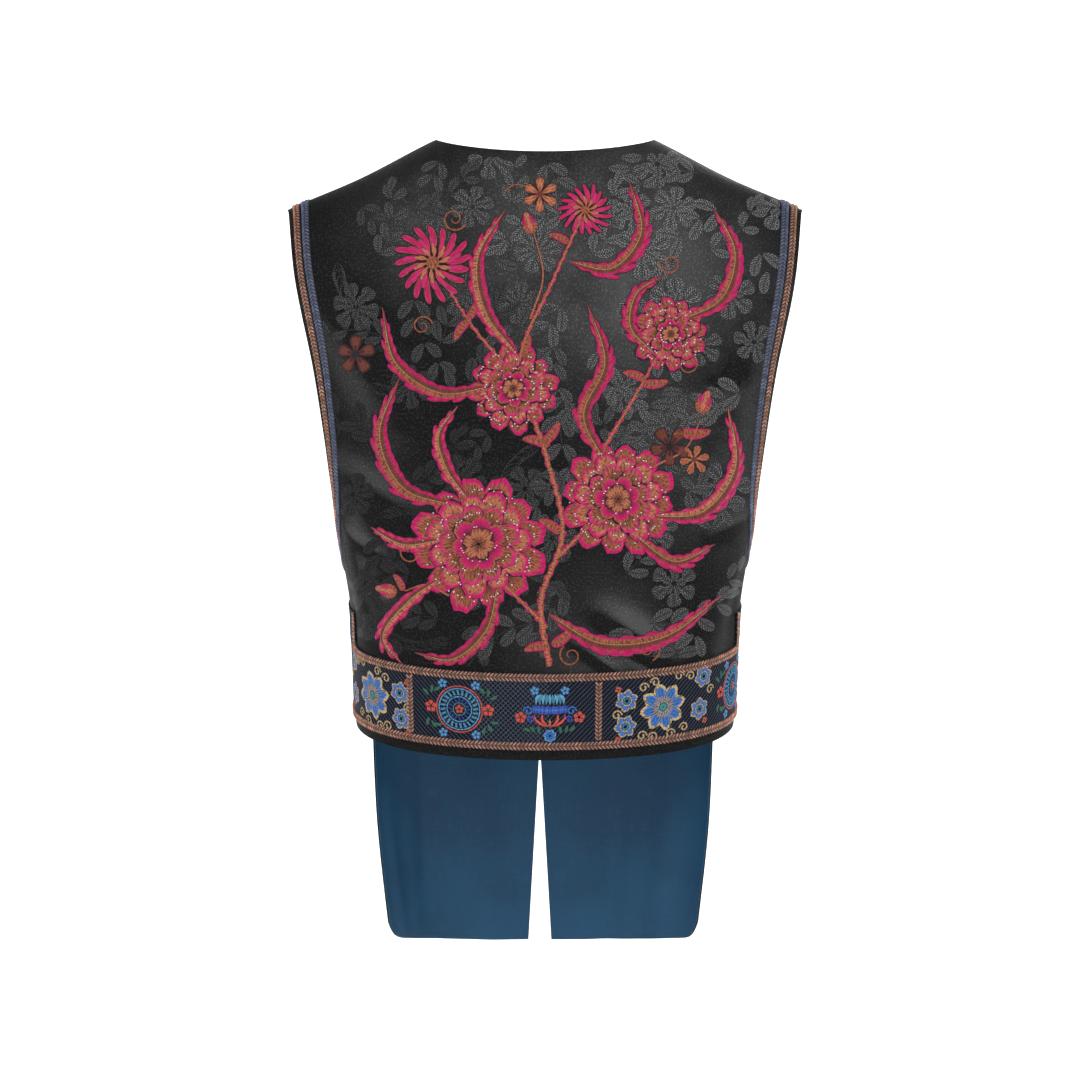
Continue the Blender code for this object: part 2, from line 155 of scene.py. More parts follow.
# Soft folds: the turn in degrees and the down of each end, the width of the fold and its height.
# A negative height is a trough. The first fourteen are the solids' own, and the rest are finer.
FOLDS = table(
    "turn_a down_a turn_b down_b width height",
    (68, 0.300, 63, 0.450, 0.018, 0.0030),
    (62, 0.290, 38, 0.330, 0.016, 0.0022),
    (-18, 0.425, -37, 0.464, 0.012, 0.0032),
    (-84, 0.365, -64, 0.470, 0.017, -0.0026),
    (84, 0.360, 78, 0.470, 0.016, -0.0024),
    (-60, 0.140, -48, 0.300, 0.022, 0.0022),
    (58, 0.130, 40, 0.250, 0.020, -0.0020),
    (138, 0.360, 150, 0.490, 0.018, 0.0030),
    (-138, 0.350, -154, 0.450, 0.017, 0.0028),
    (140, 0.560, 138, 0.800, 0.015, 0.0050),
    (161, 0.600, 163, 0.800, 0.017, -0.0044),
    (-136, 0.580, -133, 0.800, 0.017, -0.0046),
    (-154, 0.570, -157, 0.800, 0.014, 0.0050),
    (120, 0.600, 121, 0.800, 0.013, -0.0034),
    (70, 0.345, 50, 0.372, 0.007, 0.0011),
    (66, 0.400, 46, 0.405, 0.007, -0.0010),
    (-72, 0.330, -52, 0.352, 0.008, 0.0011),
    (-24, 0.462, -44, 0.492, 0.006, -0.0010),
    (-8, 0.450, -22, 0.480, 0.006, 0.0009),
    (-52, 0.210, -40, 0.228, 0.009, -0.0010),
    (50, 0.180, 36, 0.205, 0.009, 0.0009),
    (150, 0.330, 132, 0.372, 0.009, -0.0013),
    (-150, 0.320, -130, 0.366, 0.009, -0.0013),
)
FOLD_METRES_PER_TURN = 0.150
FOLD_END_SHARE = 0.12

# Thread and dye colours, in linear light
COPPER = (0.245, 0.069, 0.033)
PEACH = (0.350, 0.115, 0.058)
MAGENTA = (0.370, 0.003, 0.083)
ROSE = (0.410, 0.011, 0.108)
BURGUNDY = (0.045, 0.007, 0.010)
RUST = (0.105, 0.026, 0.015)
BLACK_THREAD = (0.007, 0.006, 0.007)
STRONG_BLUE = (0.030, 0.120, 0.360)
SKY_BLUE = (0.090, 0.260, 0.470)
TEAL = (0.040, 0.200, 0.240)
ROYAL = (0.030, 0.055, 0.300)
GOLD = (0.380, 0.270, 0.140)
CORAL = (0.480, 0.065, 0.050)
LEAF_GREEN = (0.026, 0.110, 0.065)


# Camera, floor and light

def make_camera():
    """The camera behind the waistcoat, level, with the photograph's field of view."""
    data = bpy.data.cameras.new("camera")
    data.sensor_width = SENSOR
    data.lens = SENSOR * CAMERA_PLACE[1] / CAMERA_VIEW_WIDTH
    camera = bpy.data.objects.new("camera", data)
    camera.location = CAMERA_PLACE
    camera.rotation_euler = (math.pi / 2, 0, math.pi)
    bpy.context.scene.collection.objects.link(camera)
    bpy.context.scene.camera = camera


def make_light(name, place, size, watts):
    """A soft square light that faces the waistcoat."""
    data = bpy.data.lights.new(name, "AREA")
    data.size = size
    data.energy = watts
    light = bpy.data.objects.new(name, data)
    light.location = place
    x, y, z = np.subtract(place, LIGHTS_AIM)
    light.rotation_euler = (math.atan2(math.hypot(x, y), z), 0, math.atan2(y, x) + math.pi / 2)
    bpy.context.scene.collection.objects.link(light)


def make_studio():
    """A pale floor that sweeps up into a round backdrop, with soft light from all sides."""
    bend = np.linspace(0, math.pi / 2, 13)
    edge = FLOOR_FLAT + FLOOR_SWEEP
    radius = np.concatenate([FLOOR_RINGS, FLOOR_FLAT + FLOOR_SWEEP * np.sin(bend), [edge]])
    lift = np.concatenate([[0, 0, 0], FLOOR_SWEEP * (1 - np.cos(bend)), [WALL_HEIGHT]])
    flat = polar((0, 0), radius, np.linspace(0, 2 * math.pi, FLOOR_SPOKES, endpoint=False)[:, None])
    height = np.broadcast_to(FLOOR_Z + lift, flat.shape[:2])
    points = np.concatenate([flat, height[..., None]], -1).reshape(-1, 3)
    rings = len(radius)
    faces = grid_faces(FLOOR_SPOKES, rings, closed=True)[:, ::-1].tolist()
    faces.append([spoke * rings for spoke in range(FLOOR_SPOKES)])
    make_mesh("studio_floor", points, faces, [pale_floor()])
    world = bpy.data.worlds.new("studio")
    world.use_nodes = True
    background = world.node_tree.nodes["Background"].inputs
    background["Color"].default_value = (1, 1, 1, 1)
    background["Strength"].default_value = WORLD_STRENGTH
    bpy.context.scene.world = world
    for light in LIGHTS:
        make_light(**light)


# The surface of the cloth

def smooth(t):
    """An S-shaped ramp from 0 to 1."""
    t = np.clip(t, 0.0, 1.0)
    return t * t * (3 - 2 * t)


def section(down, column):
    """One column of SECTIONS at any level, by a monotone cubic through the rows."""
    at = np.array([row["down"] for row in SECTIONS])
    value = np.array([row[column] for row in SECTIONS])
    step = np.diff(at)
    slope = np.diff(value) / step
    tangent = np.zeros(len(at))
    tangent[0], tangent[-1] = slope[0], slope[-1]
    for k in range(1, len(slope)):
        if slope[k - 1] * slope[k] > 0:
            tangent[k] = 2 * slope[k - 1] * slope[k] / (slope[k - 1] + slope[k])
    down = np.clip(down, at[0], at[-1])
    i = np.clip(np.searchsorted(at, down, side="right") - 1, 0, len(step) - 1)
    t = (down - at[i]) / step[i]
    from_first = value[i] * (1 + 2 * t) + tangent[i] * step[i] * t
    from_next = value[i + 1] * (3 - 2 * t) + tangent[i + 1] * step[i] * (t - 1)
    return from_first * (1 - t) ** 2 + from_next * t * t


def edge_turn(down, column):
    """The angle of a panel's side edge: the armhole, round at its bottom, then the side seam and vent."""
    side = SIDE_TURN if column == "back_edge" else math.pi - SIDE_TURN
    edge = np.radians(section(down, column))
    t = np.clip((down - UNDERARM_DOWN) / UNDERARM_ROUND + 1, 0.0, 1.0)
    return edge + (side - edge) * (1 - np.sqrt(1 - t * t))


def shoulder_z(x):
    """Height of the shoulder seam's line, carried on over the neck as a rounded peak."""
    x = np.abs(x)
    length = SHOULDER_HALF - NECK_HALF
    slope = SHOULDER_FALL / length
    along = np.clip((x - NECK_HALF) / length, 0.0, 1.0)
    outside = -slope * (x - NECK_HALF) - SHOULDER_SAG * np.sin(math.pi * along) ** 2
    inside = slope * NECK_HALF / 2 * (1 - (x / NECK_HALF) ** 2)
    return np.where(x >= NECK_HALF, outside, inside)


def down_of(z):
    """The down at which level cloth, below the shoulders, lies at height z."""
    return SHOULDER_ROLL - SHOULDER_FALL - ROLL_DROP - z


def figure_point(turn, down):
    """The outside of the cloth with no folds."""
    angle = math.pi / 2 * np.clip(down / SHOULDER_ROLL, 0.0, 1.0)
    drop = ROLL_DROP * (1 - np.cos(angle)) + np.maximum(down - SHOULDER_ROLL, 0.0)
    depth = np.where(np.cos(turn) >= 0, section(down, "back"), section(down, "front"))
    x = section(down, "half_width") * np.sin(turn)
    y = depth * np.cos(turn) * (1 + BOXINESS * np.sin(turn) ** 2) * np.sin(angle)
    level = smooth(down / LEVEL_BY)
    z = -SHOULDER_FALL - drop + (shoulder_z(x) + SHOULDER_FALL) * (1 - level)
    sway = FRONT_SWAY * level * np.maximum(-np.cos(turn), 0.0)
    return np.stack(np.broadcast_arrays(x + sway, y, z), axis=-1)


def slopes_at(turn, down):
    """How the cloth's point changes with turn and with down."""
    step = 1e-4
    along = figure_point(turn + step, down) - figure_point(turn - step, down)
    above = np.maximum(down - step, 0.0)
    fall = figure_point(turn, down + step) - figure_point(turn, above)
    return along / (2 * step), fall / np.expand_dims(down + step - above, -1)


def unit(vectors):
    """The vectors, each made 1 long."""
    return vectors / np.linalg.norm(vectors, axis=-1, keepdims=True)


def normal_at(turn, down):
    """The direction out of the garment."""
    return unit(np.cross(*slopes_at(turn, down)))


def fold_height(turn, down):
    """How far the soft folds lift the cloth at a place."""
    across = np.asarray(turn) * FOLD_METRES_PER_TURN
    total = np.zeros(np.broadcast(turn, down).shape)
    for fold in FOLDS:
        ax, ay = math.radians(fold["turn_a"]) * FOLD_METRES_PER_TURN, fold["down_a"]
        bx, by = math.radians(fold["turn_b"]) * FOLD_METRES_PER_TURN, fold["down_b"]
        length = math.hypot(bx - ax, by - ay)
        t = ((across - ax) * (bx - ax) + (down - ay) * (by - ay)) / length**2
        t = np.clip(t, 0.0, 1.0)
        away = np.hypot(across - ax - (bx - ax) * t, down - ay - (by - ay) * t) / fold["width"]
        strength = np.sin(math.pi * (FOLD_END_SHARE + (1 - 2 * FOLD_END_SHARE) * t))
        total = total + fold["height"] * np.exp(-away * away) * strength
    return total


def fold_light_mark(turn, down):
    """How far each place on a fold faces up and to the right, as painted light and shade for the silk: 0.5
    where the cloth is flat.
    """
    step = 0.002
    fall = fold_height(turn, down + step) - fold_height(turn, down - step)
    turned_by = step / FOLD_METRES_PER_TURN
    along = fold_height(turn + turned_by, down) - fold_height(turn - turned_by, down)
    return np.clip(0.5 + (1.6 * fall + 0.9 * along) / (2 * step), 0, 1)


def cloth_point(turn, down, out=0.0):
    """A point of the outside of the cloth, or a distance out from it."""
    lift = np.expand_dims(fold_height(turn, down) + out, -1)
    return figure_point(turn, down) + normal_at(turn, down) * lift


def stepped(turn, down, move):
    """(turn, down) of the places a short vector away along the cloth."""
    goal = figure_point(turn, down) + move
    for _ in range(4):
        along, fall = slopes_at(turn, down)
        gap = goal - figure_point(turn, down)
        a, b, c = (along * along).sum(-1), (along * fall).sum(-1), (fall * fall).sum(-1)
        p, q = (gap * along).sum(-1), (gap * fall).sum(-1)
        turn = turn + (p * c - q * b) / (a * c - b * b)
        down = np.maximum(down + (q * a - p * b) / (a * c - b * b), 0.0)
    return turn, down


def polar(centre, reach, angle):
    """Flat points at a reach and an angle from a centre."""
    return np.stack([centre[0] + reach * np.cos(angle), centre[1] + reach * np.sin(angle)], -1)


def run_length(points):
    """The length along a line of points, from its first point to each of them."""
    steps = np.linalg.norm(np.diff(points, axis=0), axis=-1)
    return np.concatenate(([0.0], np.cumsum(steps)))


def back_hem_down(turn):
    """The back hem dips at the centre back and lifts towards the vents."""
    return down_of(BACK_HEM_Z + BACK_HEM_LIFT_AT_SIDE * (turn / (math.pi / 2)) ** 2)


def seam_down(turn):
    """How far below the shoulder line a panel's top edge starts, for half the seam's gap."""
    depth = np.abs(figure_point(turn, SEAM_GAP)[..., 1])
    return SEAM_GAP * SEAM_GAP / 2 / depth


def back_neck_z(x):
    """Height of the back neck's edge, which dips to the centre back."""
    return BACK_NECK_Z * (1 - np.minimum(np.abs(x) / NECK_HALF, 1.0) ** 2) ** BACK_NECK_ROUND


def back_neck_down(share):
    """Where each column of the back meets the neck's edge."""
    low, high = np.zeros(len(share)), np.full(len(share), SHOULDER_ROLL)
    for _ in range(30):
        middle = (low + high) / 2
        x, _, z = np.moveaxis(figure_point(share * edge_turn(middle, "back_edge"), middle), -1, 0)
        above = z > back_neck_z(x)
        low, high = np.where(above, middle, low), np.where(above, high, middle)
    return high


def opening_turn(down):
    """The angle of a front's inner edge from the centre front: a V neck, edge to edge, then parting."""
    width = section(down, "half_width")
    neck = np.arcsin(NECK_HALF / section(0.0, "half_width"))
    t = np.clip(down / V_NECK_DOWN, 0.0, 1.0)
    v_neck = neck * (1 - t) ** V_NECK_POWER * (1 + V_NECK_BELLY * t)
    part = np.clip((down - FRONT_PART_DOWN) / (down_of(FRONT_HEM_Z) - FRONT_PART_DOWN), 0.0, 1.0)
    return v_neck + (SEAM_GAP / 2 + FRONT_PART_HALF * part) / width


def vent_turn(down):
    """How far a front's side edge stands off the back's at the vent, as an angle."""
    return VENT_PART * smooth((down - VENT_TOP_DOWN) / VENT_PART_OVER) / section(down, "front")


def levels_to(hem, rows_below):
    """The rows of a panel, close together over the shoulder and round the bottom of the armhole."""
    underarm_from = UNDERARM_DOWN - UNDERARM_ROUND
    return np.concatenate([
        np.linspace(0, SHOULDER_ROLL, ROLL_ROWS, endpoint=False),
        np.linspace(SHOULDER_ROLL, underarm_from, ARMHOLE_ROWS, endpoint=False),
        np.linspace(underarm_from, UNDERARM_DOWN, UNDERARM_ROWS, endpoint=False),
        UNDERARM_DOWN + (hem - UNDERARM_DOWN) * np.linspace(0, 1, rows_below + 1),
    ])


def back_places():
    """The back's grid: rows down from the shoulder seams and neck, columns from side to side."""
    neck_columns = round(BACK_COLUMNS / 2 * NECK_SHARE_OF_COLUMNS)
    shoulder_columns = BACK_COLUMNS // 2 - neck_columns
    neck = np.linspace(0, NECK_HALF, neck_columns + 1)
    neck = np.arcsin(neck / section(0.0, "half_width")) / edge_turn(0.0, "back_edge")
    half = np.concatenate([neck, np.linspace(neck[-1], 1.0, shoulder_columns + 1)[1:]])
    share = np.concatenate([-half[:0:-1], half])
    top = np.maximum(back_neck_down(share), seam_down(share * edge_turn(0.0, "back_edge")))
    hem = back_hem_down(share * SIDE_TURN)
    fall = levels_to(hem[-1], BACK_ROWS_BELOW)[:, None] / hem[-1]
    down = top + (hem - top) * fall
    half_gap = SEAM_GAP / 2 / section(down, "back")
    return share * (edge_turn(down, "back_edge") - half_gap), down


def front_places(side):
    """One front's grid: rows down from the shoulder seam, columns from the opening to the side."""
    share = np.linspace(0, 1, FRONT_COLUMNS + 1)
    level = levels_to(down_of(FRONT_HEM_Z), FRONT_ROWS_BELOW)[:, None]
    corner = np.clip((share - FRONT_CORNER_START) / (1 - FRONT_CORNER_START), 0, 1)
    below = smooth((level - UNDERARM_DOWN) / (level[-1] - UNDERARM_DOWN))
    lift = FRONT_HEM_LIFT_AT_SIDE * share**2 + FRONT_CORNER_LIFT * corner**FRONT_CORNER_POWER
    down = level - lift * below
    inner = opening_turn(down)
    outer = edge_turn(down, "front_edge") - SEAM_GAP / 2 / section(down, "front") - vent_turn(down)
    turn = math.pi - (inner + (outer - inner) * share)
    return side * turn, np.maximum(down, seam_down(turn))


def armhole_path(side):
    """The armhole's edge, from the shoulder down the back and up the front."""
    level = UNDERARM_DOWN * np.sin(np.linspace(0, math.pi / 2, 800))
    turn = np.concatenate([edge_turn(level, "back_edge"), math.pi - edge_turn(level, "front_edge")[::-1]])
    down = np.concatenate([level, level[::-1]])
    length = run_length(figure_point(turn, down))
    at = np.linspace(0, 1, PATH_STATIONS) * length[-1]
    return side * np.interp(at, length, turn), np.interp(at, length, down)


def tape():
    """Turns round the back at the hem's level, and the length of a tape from vent to vent at each."""
    turn = np.linspace(-SIDE_TURN, SIDE_TURN, 801)
    return turn, run_length(figure_point(turn, back_hem_down(0.0)))


TAPE_TURNS, TAPE_LENGTHS = tape()
TAPE_HALF = TAPE_LENGTHS[-1] / 2
LEG_TOP = back_hem_down(SIDE_TURN) - VENT_TOP_DOWN


def on_hem(along, height):
    """(turn, down) of the places a tape's length from the centre back and a height above the hem."""
    turn = np.interp(along + TAPE_HALF, TAPE_LENGTHS, TAPE_TURNS)
    return turn, back_hem_down(turn) - height


def hem_layout(flat):
    """(turn, down) of layout points on the ribbon, right of the centre back and above the hem."""
    return on_hem(-flat[..., 0] / 1000, flat[..., 1] / 1000)


def side_layout(centre_turn, flat):
    """(turn, down) of layout points that someone sees who faces the cloth at one turn."""
    right, up = flat[..., 0] / 1000, flat[..., 1] / 1000
    ahead = 1.0 if math.cos(centre_turn) > 0 else -1.0
    down = np.clip(down_of(up), 0.02, 0.8)
    width = section(down, "half_width")
    turn = np.arcsin(np.clip(-right * ahead / width, -0.97, 0.97))
    turn = turn if ahead > 0 else math.pi * np.where(turn < 0, -1, 1) - turn
    for _ in range(8):
        along, fall = slopes_at(turn, down)
        gap = np.stack([-right * ahead, up], -1) - figure_point(turn, down)[..., [0, 2]]
        a, c = along[..., 0], along[..., 2]
        b, d = fall[..., 0], fall[..., 2]
        det = a * d - b * c
        turn = turn + np.clip((gap[..., 0] * d - gap[..., 1] * b) / det, -0.3, 0.3)
        down = np.clip(down + (gap[..., 1] * a - gap[..., 0] * c) / det, 0.004, 0.83)
    return turn, down


def back_layout(flat):
    """(turn, down) of layout points on the back, right of its centre and up from the neck points."""
    return side_layout(0.0, flat)


def front_layout(flat):
    """(turn, down) of layout points on the fronts, as someone sees them who faces the waistcoat."""
    return side_layout(math.pi, flat)


# Shader building

def feed(tree, socket, value):
    """Gives a socket a number, a colour or another node's output."""
    if isinstance(value, bpy.types.NodeSocket):
        tree.links.new(value, socket)
    else:
        socket.default_value = value


def put(tree, kind, values=None, **settings):
    """Adds a node with its settings and values."""
    made = tree.nodes.new(kind)
    for name, setting in settings.items():
        setattr(made, name, setting)
    for name, value in (values or {}).items():
        feed(tree, made.inputs[name], value)
    return made


def use(tree, name, **values):
    """Places a group and gives its outputs."""
    return put(tree, "ShaderNodeGroup", values, node_tree=bpy.data.node_groups[name]).outputs


def calc(tree, operation, *values, clamp=False):
    """A Math node's result."""
    made = put(tree, "ShaderNodeMath", dict(enumerate(values)), operation=operation, use_clamp=clamp)
    return made.outputs[0]


def ramp_of(tree, value, low, high, to_low=0.0, to_high=1.0):
    """A value carried smoothly from one range to another."""
    places = {"Value": value, "From Min": low, "From Max": high, "To Min": to_low, "To Max": to_high}
    return put(tree, "ShaderNodeMapRange", places, interpolation_type="SMOOTHSTEP").outputs["Result"]


def blend(tree, factor, first, second):
    """A colour between two colours."""
    made = put(tree, "ShaderNodeMix", data_type="RGBA")
    for index, value in ((0, factor), (6, first), (7, second)):
        feed(tree, made.inputs[index], (*value, 1) if isinstance(value, tuple) else value)
    return made.outputs[2]


def parts_of(tree, vector):
    """A vector's X, Y and Z."""
    return put(tree, "ShaderNodeSeparateXYZ", {"Vector": vector}).outputs


def hues_of(tree, colour):
    """A colour's red, green and blue."""
    return put(tree, "ShaderNodeSeparateColor", {"Color": colour}).outputs


def thread_mark(tree):
    """The mesh's own attribute: a thread's colour, a figure's marks, or a fold's painted light and shade."""
    return put(tree, "ShaderNodeAttribute", attribute_name="thread").outputs


def noise(tree, vector, scale, detail=3.0, rough=0.5, stretch=None):
    """A noise value, stretched along an axis where stretch says so."""
    if stretch:
        vector = put(tree, "ShaderNodeMapping", {"Vector": vector, "Scale": stretch}).outputs[0]
    values = {"Vector": vector, "Scale": scale, "Detail": detail, "Roughness": rough}
    return put(tree, "ShaderNodeTexNoise", values).outputs["Fac"]


def new_group(name, inputs, outputs):
    """An empty shader group with named inputs and outputs."""
    group = bpy.data.node_groups.new(name, "ShaderNodeTree")
    for socket, value in inputs.items():
        kind = "NodeSocketVector" if value is None else "NodeSocketFloat"
        made = group.interface.new_socket(socket, in_out="INPUT", socket_type=kind)
        if value is not None:
            made.default_value = value
    for socket in outputs:
        group.interface.new_socket(socket, in_out="OUTPUT", socket_type="NodeSocketFloat")
    return group, put(group, "NodeGroupInput").outputs


def put_out(group, **values):
    """Links values to a group's outputs."""
    result = put(group, "NodeGroupOutput").inputs
    for name, value in values.items():
        group.links.new(value, result[name])


def stripe_group():
    """Soft-edged stripes across a place, with a pitch and a width as a share of the pitch."""
    group, given = new_group("stripe", dict(Place=0.0, Pitch=0.002, Share=0.5), ["Mask"])
    part = calc(group, "FRACT", calc(group, "DIVIDE", given["Place"], given["Pitch"]))
    away = calc(group, "ABSOLUTE", calc(group, "SUBTRACT", part, 0.5))
    edge = calc(group, "MULTIPLY", given["Share"], 0.5)
    soft = calc(group, "ADD", edge, 0.07)
    mask = put(group, "ShaderNodeMapRange", {"Value": away, "From Min": soft, "From Max": edge})
    put_out(group, Mask=mask.outputs["Result"])


def stripe(tree, place, pitch, share):
    """Where a place lies on a stripe."""
    return use(tree, "stripe", Place=place, Pitch=pitch, Share=share)["Mask"]


def weave_group():
    """Fine crossing yarns with uneven slubs, from a UV in metres."""
    group, given = new_group("weave", dict(UV=None, Pitch=0.0011), ["Height", "Slub", "Cloud"])
    apart = parts_of(group, given["UV"])
    warp = stripe(group, apart["X"], given["Pitch"], 0.5)
    weft = stripe(group, apart["Y"], given["Pitch"], 0.5)
    across = noise(group, given["UV"], 1.0, 2.0, 0.5, (70, 900, 1))
    along = noise(group, given["UV"], 1.0, 2.0, 0.5, (1100, 60, 1))
    put_out(
        group,
        Height=calc(group, "ADD", warp, calc(group, "MULTIPLY", weft, 0.8)),
        Slub=calc(group, "MULTIPLY", across, along),
        Cloud=noise(group, given["UV"], 9.0, 2.0),
    )


def thread_group():
    """Laid threads: fine ridges, short dark stitch ends and uneven shade. UV x crosses the threads."""
    group, given = new_group("thread", dict(UV=None, Pitch=0.0008), ["Ridge", "Speckle", "Shade"])
    ends = noise(group, given["UV"], 1.0, 1.0, 0.5, (760, 250, 1))
    put_out(
        group,
        Ridge=stripe(group, parts_of(group, given["UV"])["X"], given["Pitch"], 0.55),
        Speckle=ramp_of(group, ends, 0.51, 0.60),
        Shade=noise(group, given["UV"], 1.0, 3.0, 0.6, (620, 120, 1)),
    )


def start_material(name, **constants):
    """A material with its node tree, its shader and its UV."""
    material = bpy.data.materials.new(name)
    material.use_nodes = True
    tree = material.node_tree
    shader = tree.nodes["Principled BSDF"]
    for socket, value in constants.items():
        shader.inputs[socket.replace("_", " ")].default_value = value
    uv = put(tree, "ShaderNodeUVMap", uv_map="cloth").outputs["UV"]
    return material, tree, shader, uv


def finish_material(tree, shader, colour, rough, height, distance):
    """Links a colour, a roughness and a bump from a height to the shader."""
    tree.links.new(colour, shader.inputs["Base Color"])
    tree.links.new(rough, shader.inputs["Roughness"])
    bump = put(tree, "ShaderNodeBump", {"Height": height, "Strength": 0.6, "Distance": distance})
    tree.links.new(bump.outputs["Normal"], shader.inputs["Normal"])


# Painted sheen, lighter colour where the satin would catch the light: the middle of each soft patch, how far
# it reaches, its strength
PAINTED_SHEEN_PATCHES = table(
    "place reach strength",
    ((-0.070, 0.080, -0.130), 0.200, 1.0),
    ((0.110, 0.080, -0.090), 0.120, 0.55),
    ((0.020, 0.080, -0.100), 0.130, 0.90),
    ((-0.150, 0.080, -0.300), 0.150, 0.60),
    ((-0.040, 0.100, -0.480), 0.110, 0.40),
    ((0.060, -0.080, -0.330), 0.160, 0.60),
    ((-0.080, -0.080, -0.600), 0.180, 0.50),
)


def painted_sheen_group():
    """Painted sheen where the satin would catch the light: soft patches placed one by one, broken by a
    cloud.
    """
    group, given = new_group("sheen", dict(UV=None), ["Sheen"])
    place = put(group, "ShaderNodeTexCoord").outputs["Object"]
    total = 0.0
    for patch in PAINTED_SHEEN_PATCHES:
        away = put(group, "ShaderNodeVectorMath", {0: place, 1: patch["place"]}, operation="DISTANCE")
        glow = ramp_of(group, away.outputs["Value"], patch["reach"], 0.0, 0.0, patch["strength"])
        total = calc(group, "MAXIMUM", glow, total)
    cloud = ramp_of(group, noise(group, given["UV"], 14.0, 3.0, 0.6), 0.34, 0.66, 0.42, 1.0)
    put_out(group, Sheen=calc(group, "MULTIPLY", total, cloud))


def black_silk():
    """Black satin with a soft uneven painted sheen, painted light and shade on its folds, and a fine
    speckle.
    """
    material, tree, shader, uv = start_material("black_silk", IOR=1.10)
    weave = use(tree, "weave", UV=uv, Pitch=0.0011)
    # Painted light and shade on the folds: flanks that face up and right lighter, the others darker
    painted_fold_light = ramp_of(tree, thread_mark(tree)["Fac"], 0.1, 0.9, -0.9, 0.9)
    sheen = calc(tree, "ADD", use(tree, "sheen", UV=uv)["Sheen"], painted_fold_light, clamp=True)
    grain = noise(tree, uv, 520.0, 2.0, 0.7)
    # The base colour runs from near black to grey with the painted sheen and fold light, and the speckle's
    # light flecks show mostly in the painted sheen.
    base = blend(tree, sheen, (0.0045, 0.0045, 0.0048), (0.0480, 0.0480, 0.0490))
    lit = ramp_of(tree, sheen, 0.0, 0.8, 0.25, 1.0)
    speckle = calc(tree, "MULTIPLY", ramp_of(tree, grain, 0.50, 0.68), lit)
    colour = blend(tree, speckle, base, (0.070, 0.070, 0.072))
    rough = ramp_of(tree, weave["Slub"], 0.10, 0.45, 0.46, 0.62)
    finish_material(tree, shader, colour, rough, calc(tree, "ADD", weave["Height"], grain), 0.00012)
    return material


def woven_figure():
    """The silk's woven figures: grey hatched floats with dark veins and contour lines."""
    material, tree, shader, uv = start_material("woven_figure", IOR=1.12)
    figure = hues_of(tree, thread_mark(tree)["Color"])
    apart = parts_of(tree, uv)
    lean = calc(tree, "MULTIPLY", calc(tree, "ABSOLUTE", apart["X"]), 0.7)
    hatch = stripe(tree, calc(tree, "SUBTRACT", apart["Y"], lean), 0.0025, 0.36)
    contour = stripe(tree, calc(tree, "SUBTRACT", figure["Red"], 0.05), 0.36, 0.20)
    vein = ramp_of(tree, figure["Red"], 0.13, 0.05)
    rim = ramp_of(tree, figure["Red"], 0.84, 0.97)
    lines = calc(tree, "MAXIMUM", hatch, contour)
    dark = calc(tree, "MAXIMUM", lines, calc(tree, "MAXIMUM", vein, rim), clamp=True)
    grain = noise(tree, uv, 640.0, 2.0, 0.7)
    light = blend(tree, ramp_of(tree, grain, 0.36, 0.66), (0.045, 0.046, 0.047), (0.210, 0.212, 0.215))
    light = blend(tree, calc(tree, "MULTIPLY", dark, 0.88), light, (0.006, 0.006, 0.007))
    # The green mark, the figure's strength with painted sheen, blends the dark ground into the grey float
    colour = blend(tree, figure["Green"], (0.0050, 0.0050, 0.0055), light)
    rough = ramp_of(tree, grain, 0.3, 0.7, 0.42, 0.60)
    finish_material(tree, shader, colour, rough, calc(tree, "SUBTRACT", grain, dark), 0.00015)
    return material


def blue_lining():
    """Fine slubby blue cloth."""
    material, tree, shader, uv = start_material("blue_lining", Specular_IOR_Level=0.25)
    weave = use(tree, "weave", UV=uv, Pitch=0.0012)
    cloud = ramp_of(tree, weave["Cloud"], 0.3, 0.7)
    base = blend(tree, cloud, (0.0026, 0.029, 0.068), (0.0040, 0.043, 0.094))
    slubs = ramp_of(tree, weave["Slub"], 0.22, 0.42, 0.0, 0.5)
    colour = blend(tree, slubs, base, (0.009, 0.066, 0.132))
    rough = ramp_of(tree, weave["Slub"], 0.1, 0.5, 0.55, 0.75)
    height = calc(tree, "ADD", weave["Height"], calc(tree, "MULTIPLY", weave["Slub"], 3.0))
    finish_material(tree, shader, colour, rough, height, 0.00012)
    return material


def braid_thread(name, dark, light, metallic=0.0):
    """Twisted braid thread between a dark and a light colour."""
    material, tree, shader, uv = start_material(name, Metallic=metallic)
    thread = use(tree, "thread", UV=uv, Pitch=0.0006)
    colour = blend(tree, ramp_of(tree, thread["Shade"], 0.35, 0.65), dark, light)
    ends = calc(tree, "MULTIPLY", thread["Speckle"], 0.45)
    colour = blend(tree, ends, colour, tuple(x * 0.3 for x in dark))
    rough = ramp_of(tree, thread["Shade"], 0.3, 0.7, 0.38, 0.55)
    finish_material(tree, shader, colour, rough, thread["Ridge"], 0.00015)
    return material


# The ribbon's hatch: the pitch of its lines and of the gaps that break them into dashes, and the
# places along the ribbon between which the dashes of both slopes cross
HATCH_PITCH = 0.0046
HATCH_SHARE = 0.03
DASH_PITCH = 0.0031
DASH_SHARE = 0.62
HATCH_CROSS_FROM = -0.066
HATCH_CROSS_TO = 0.003


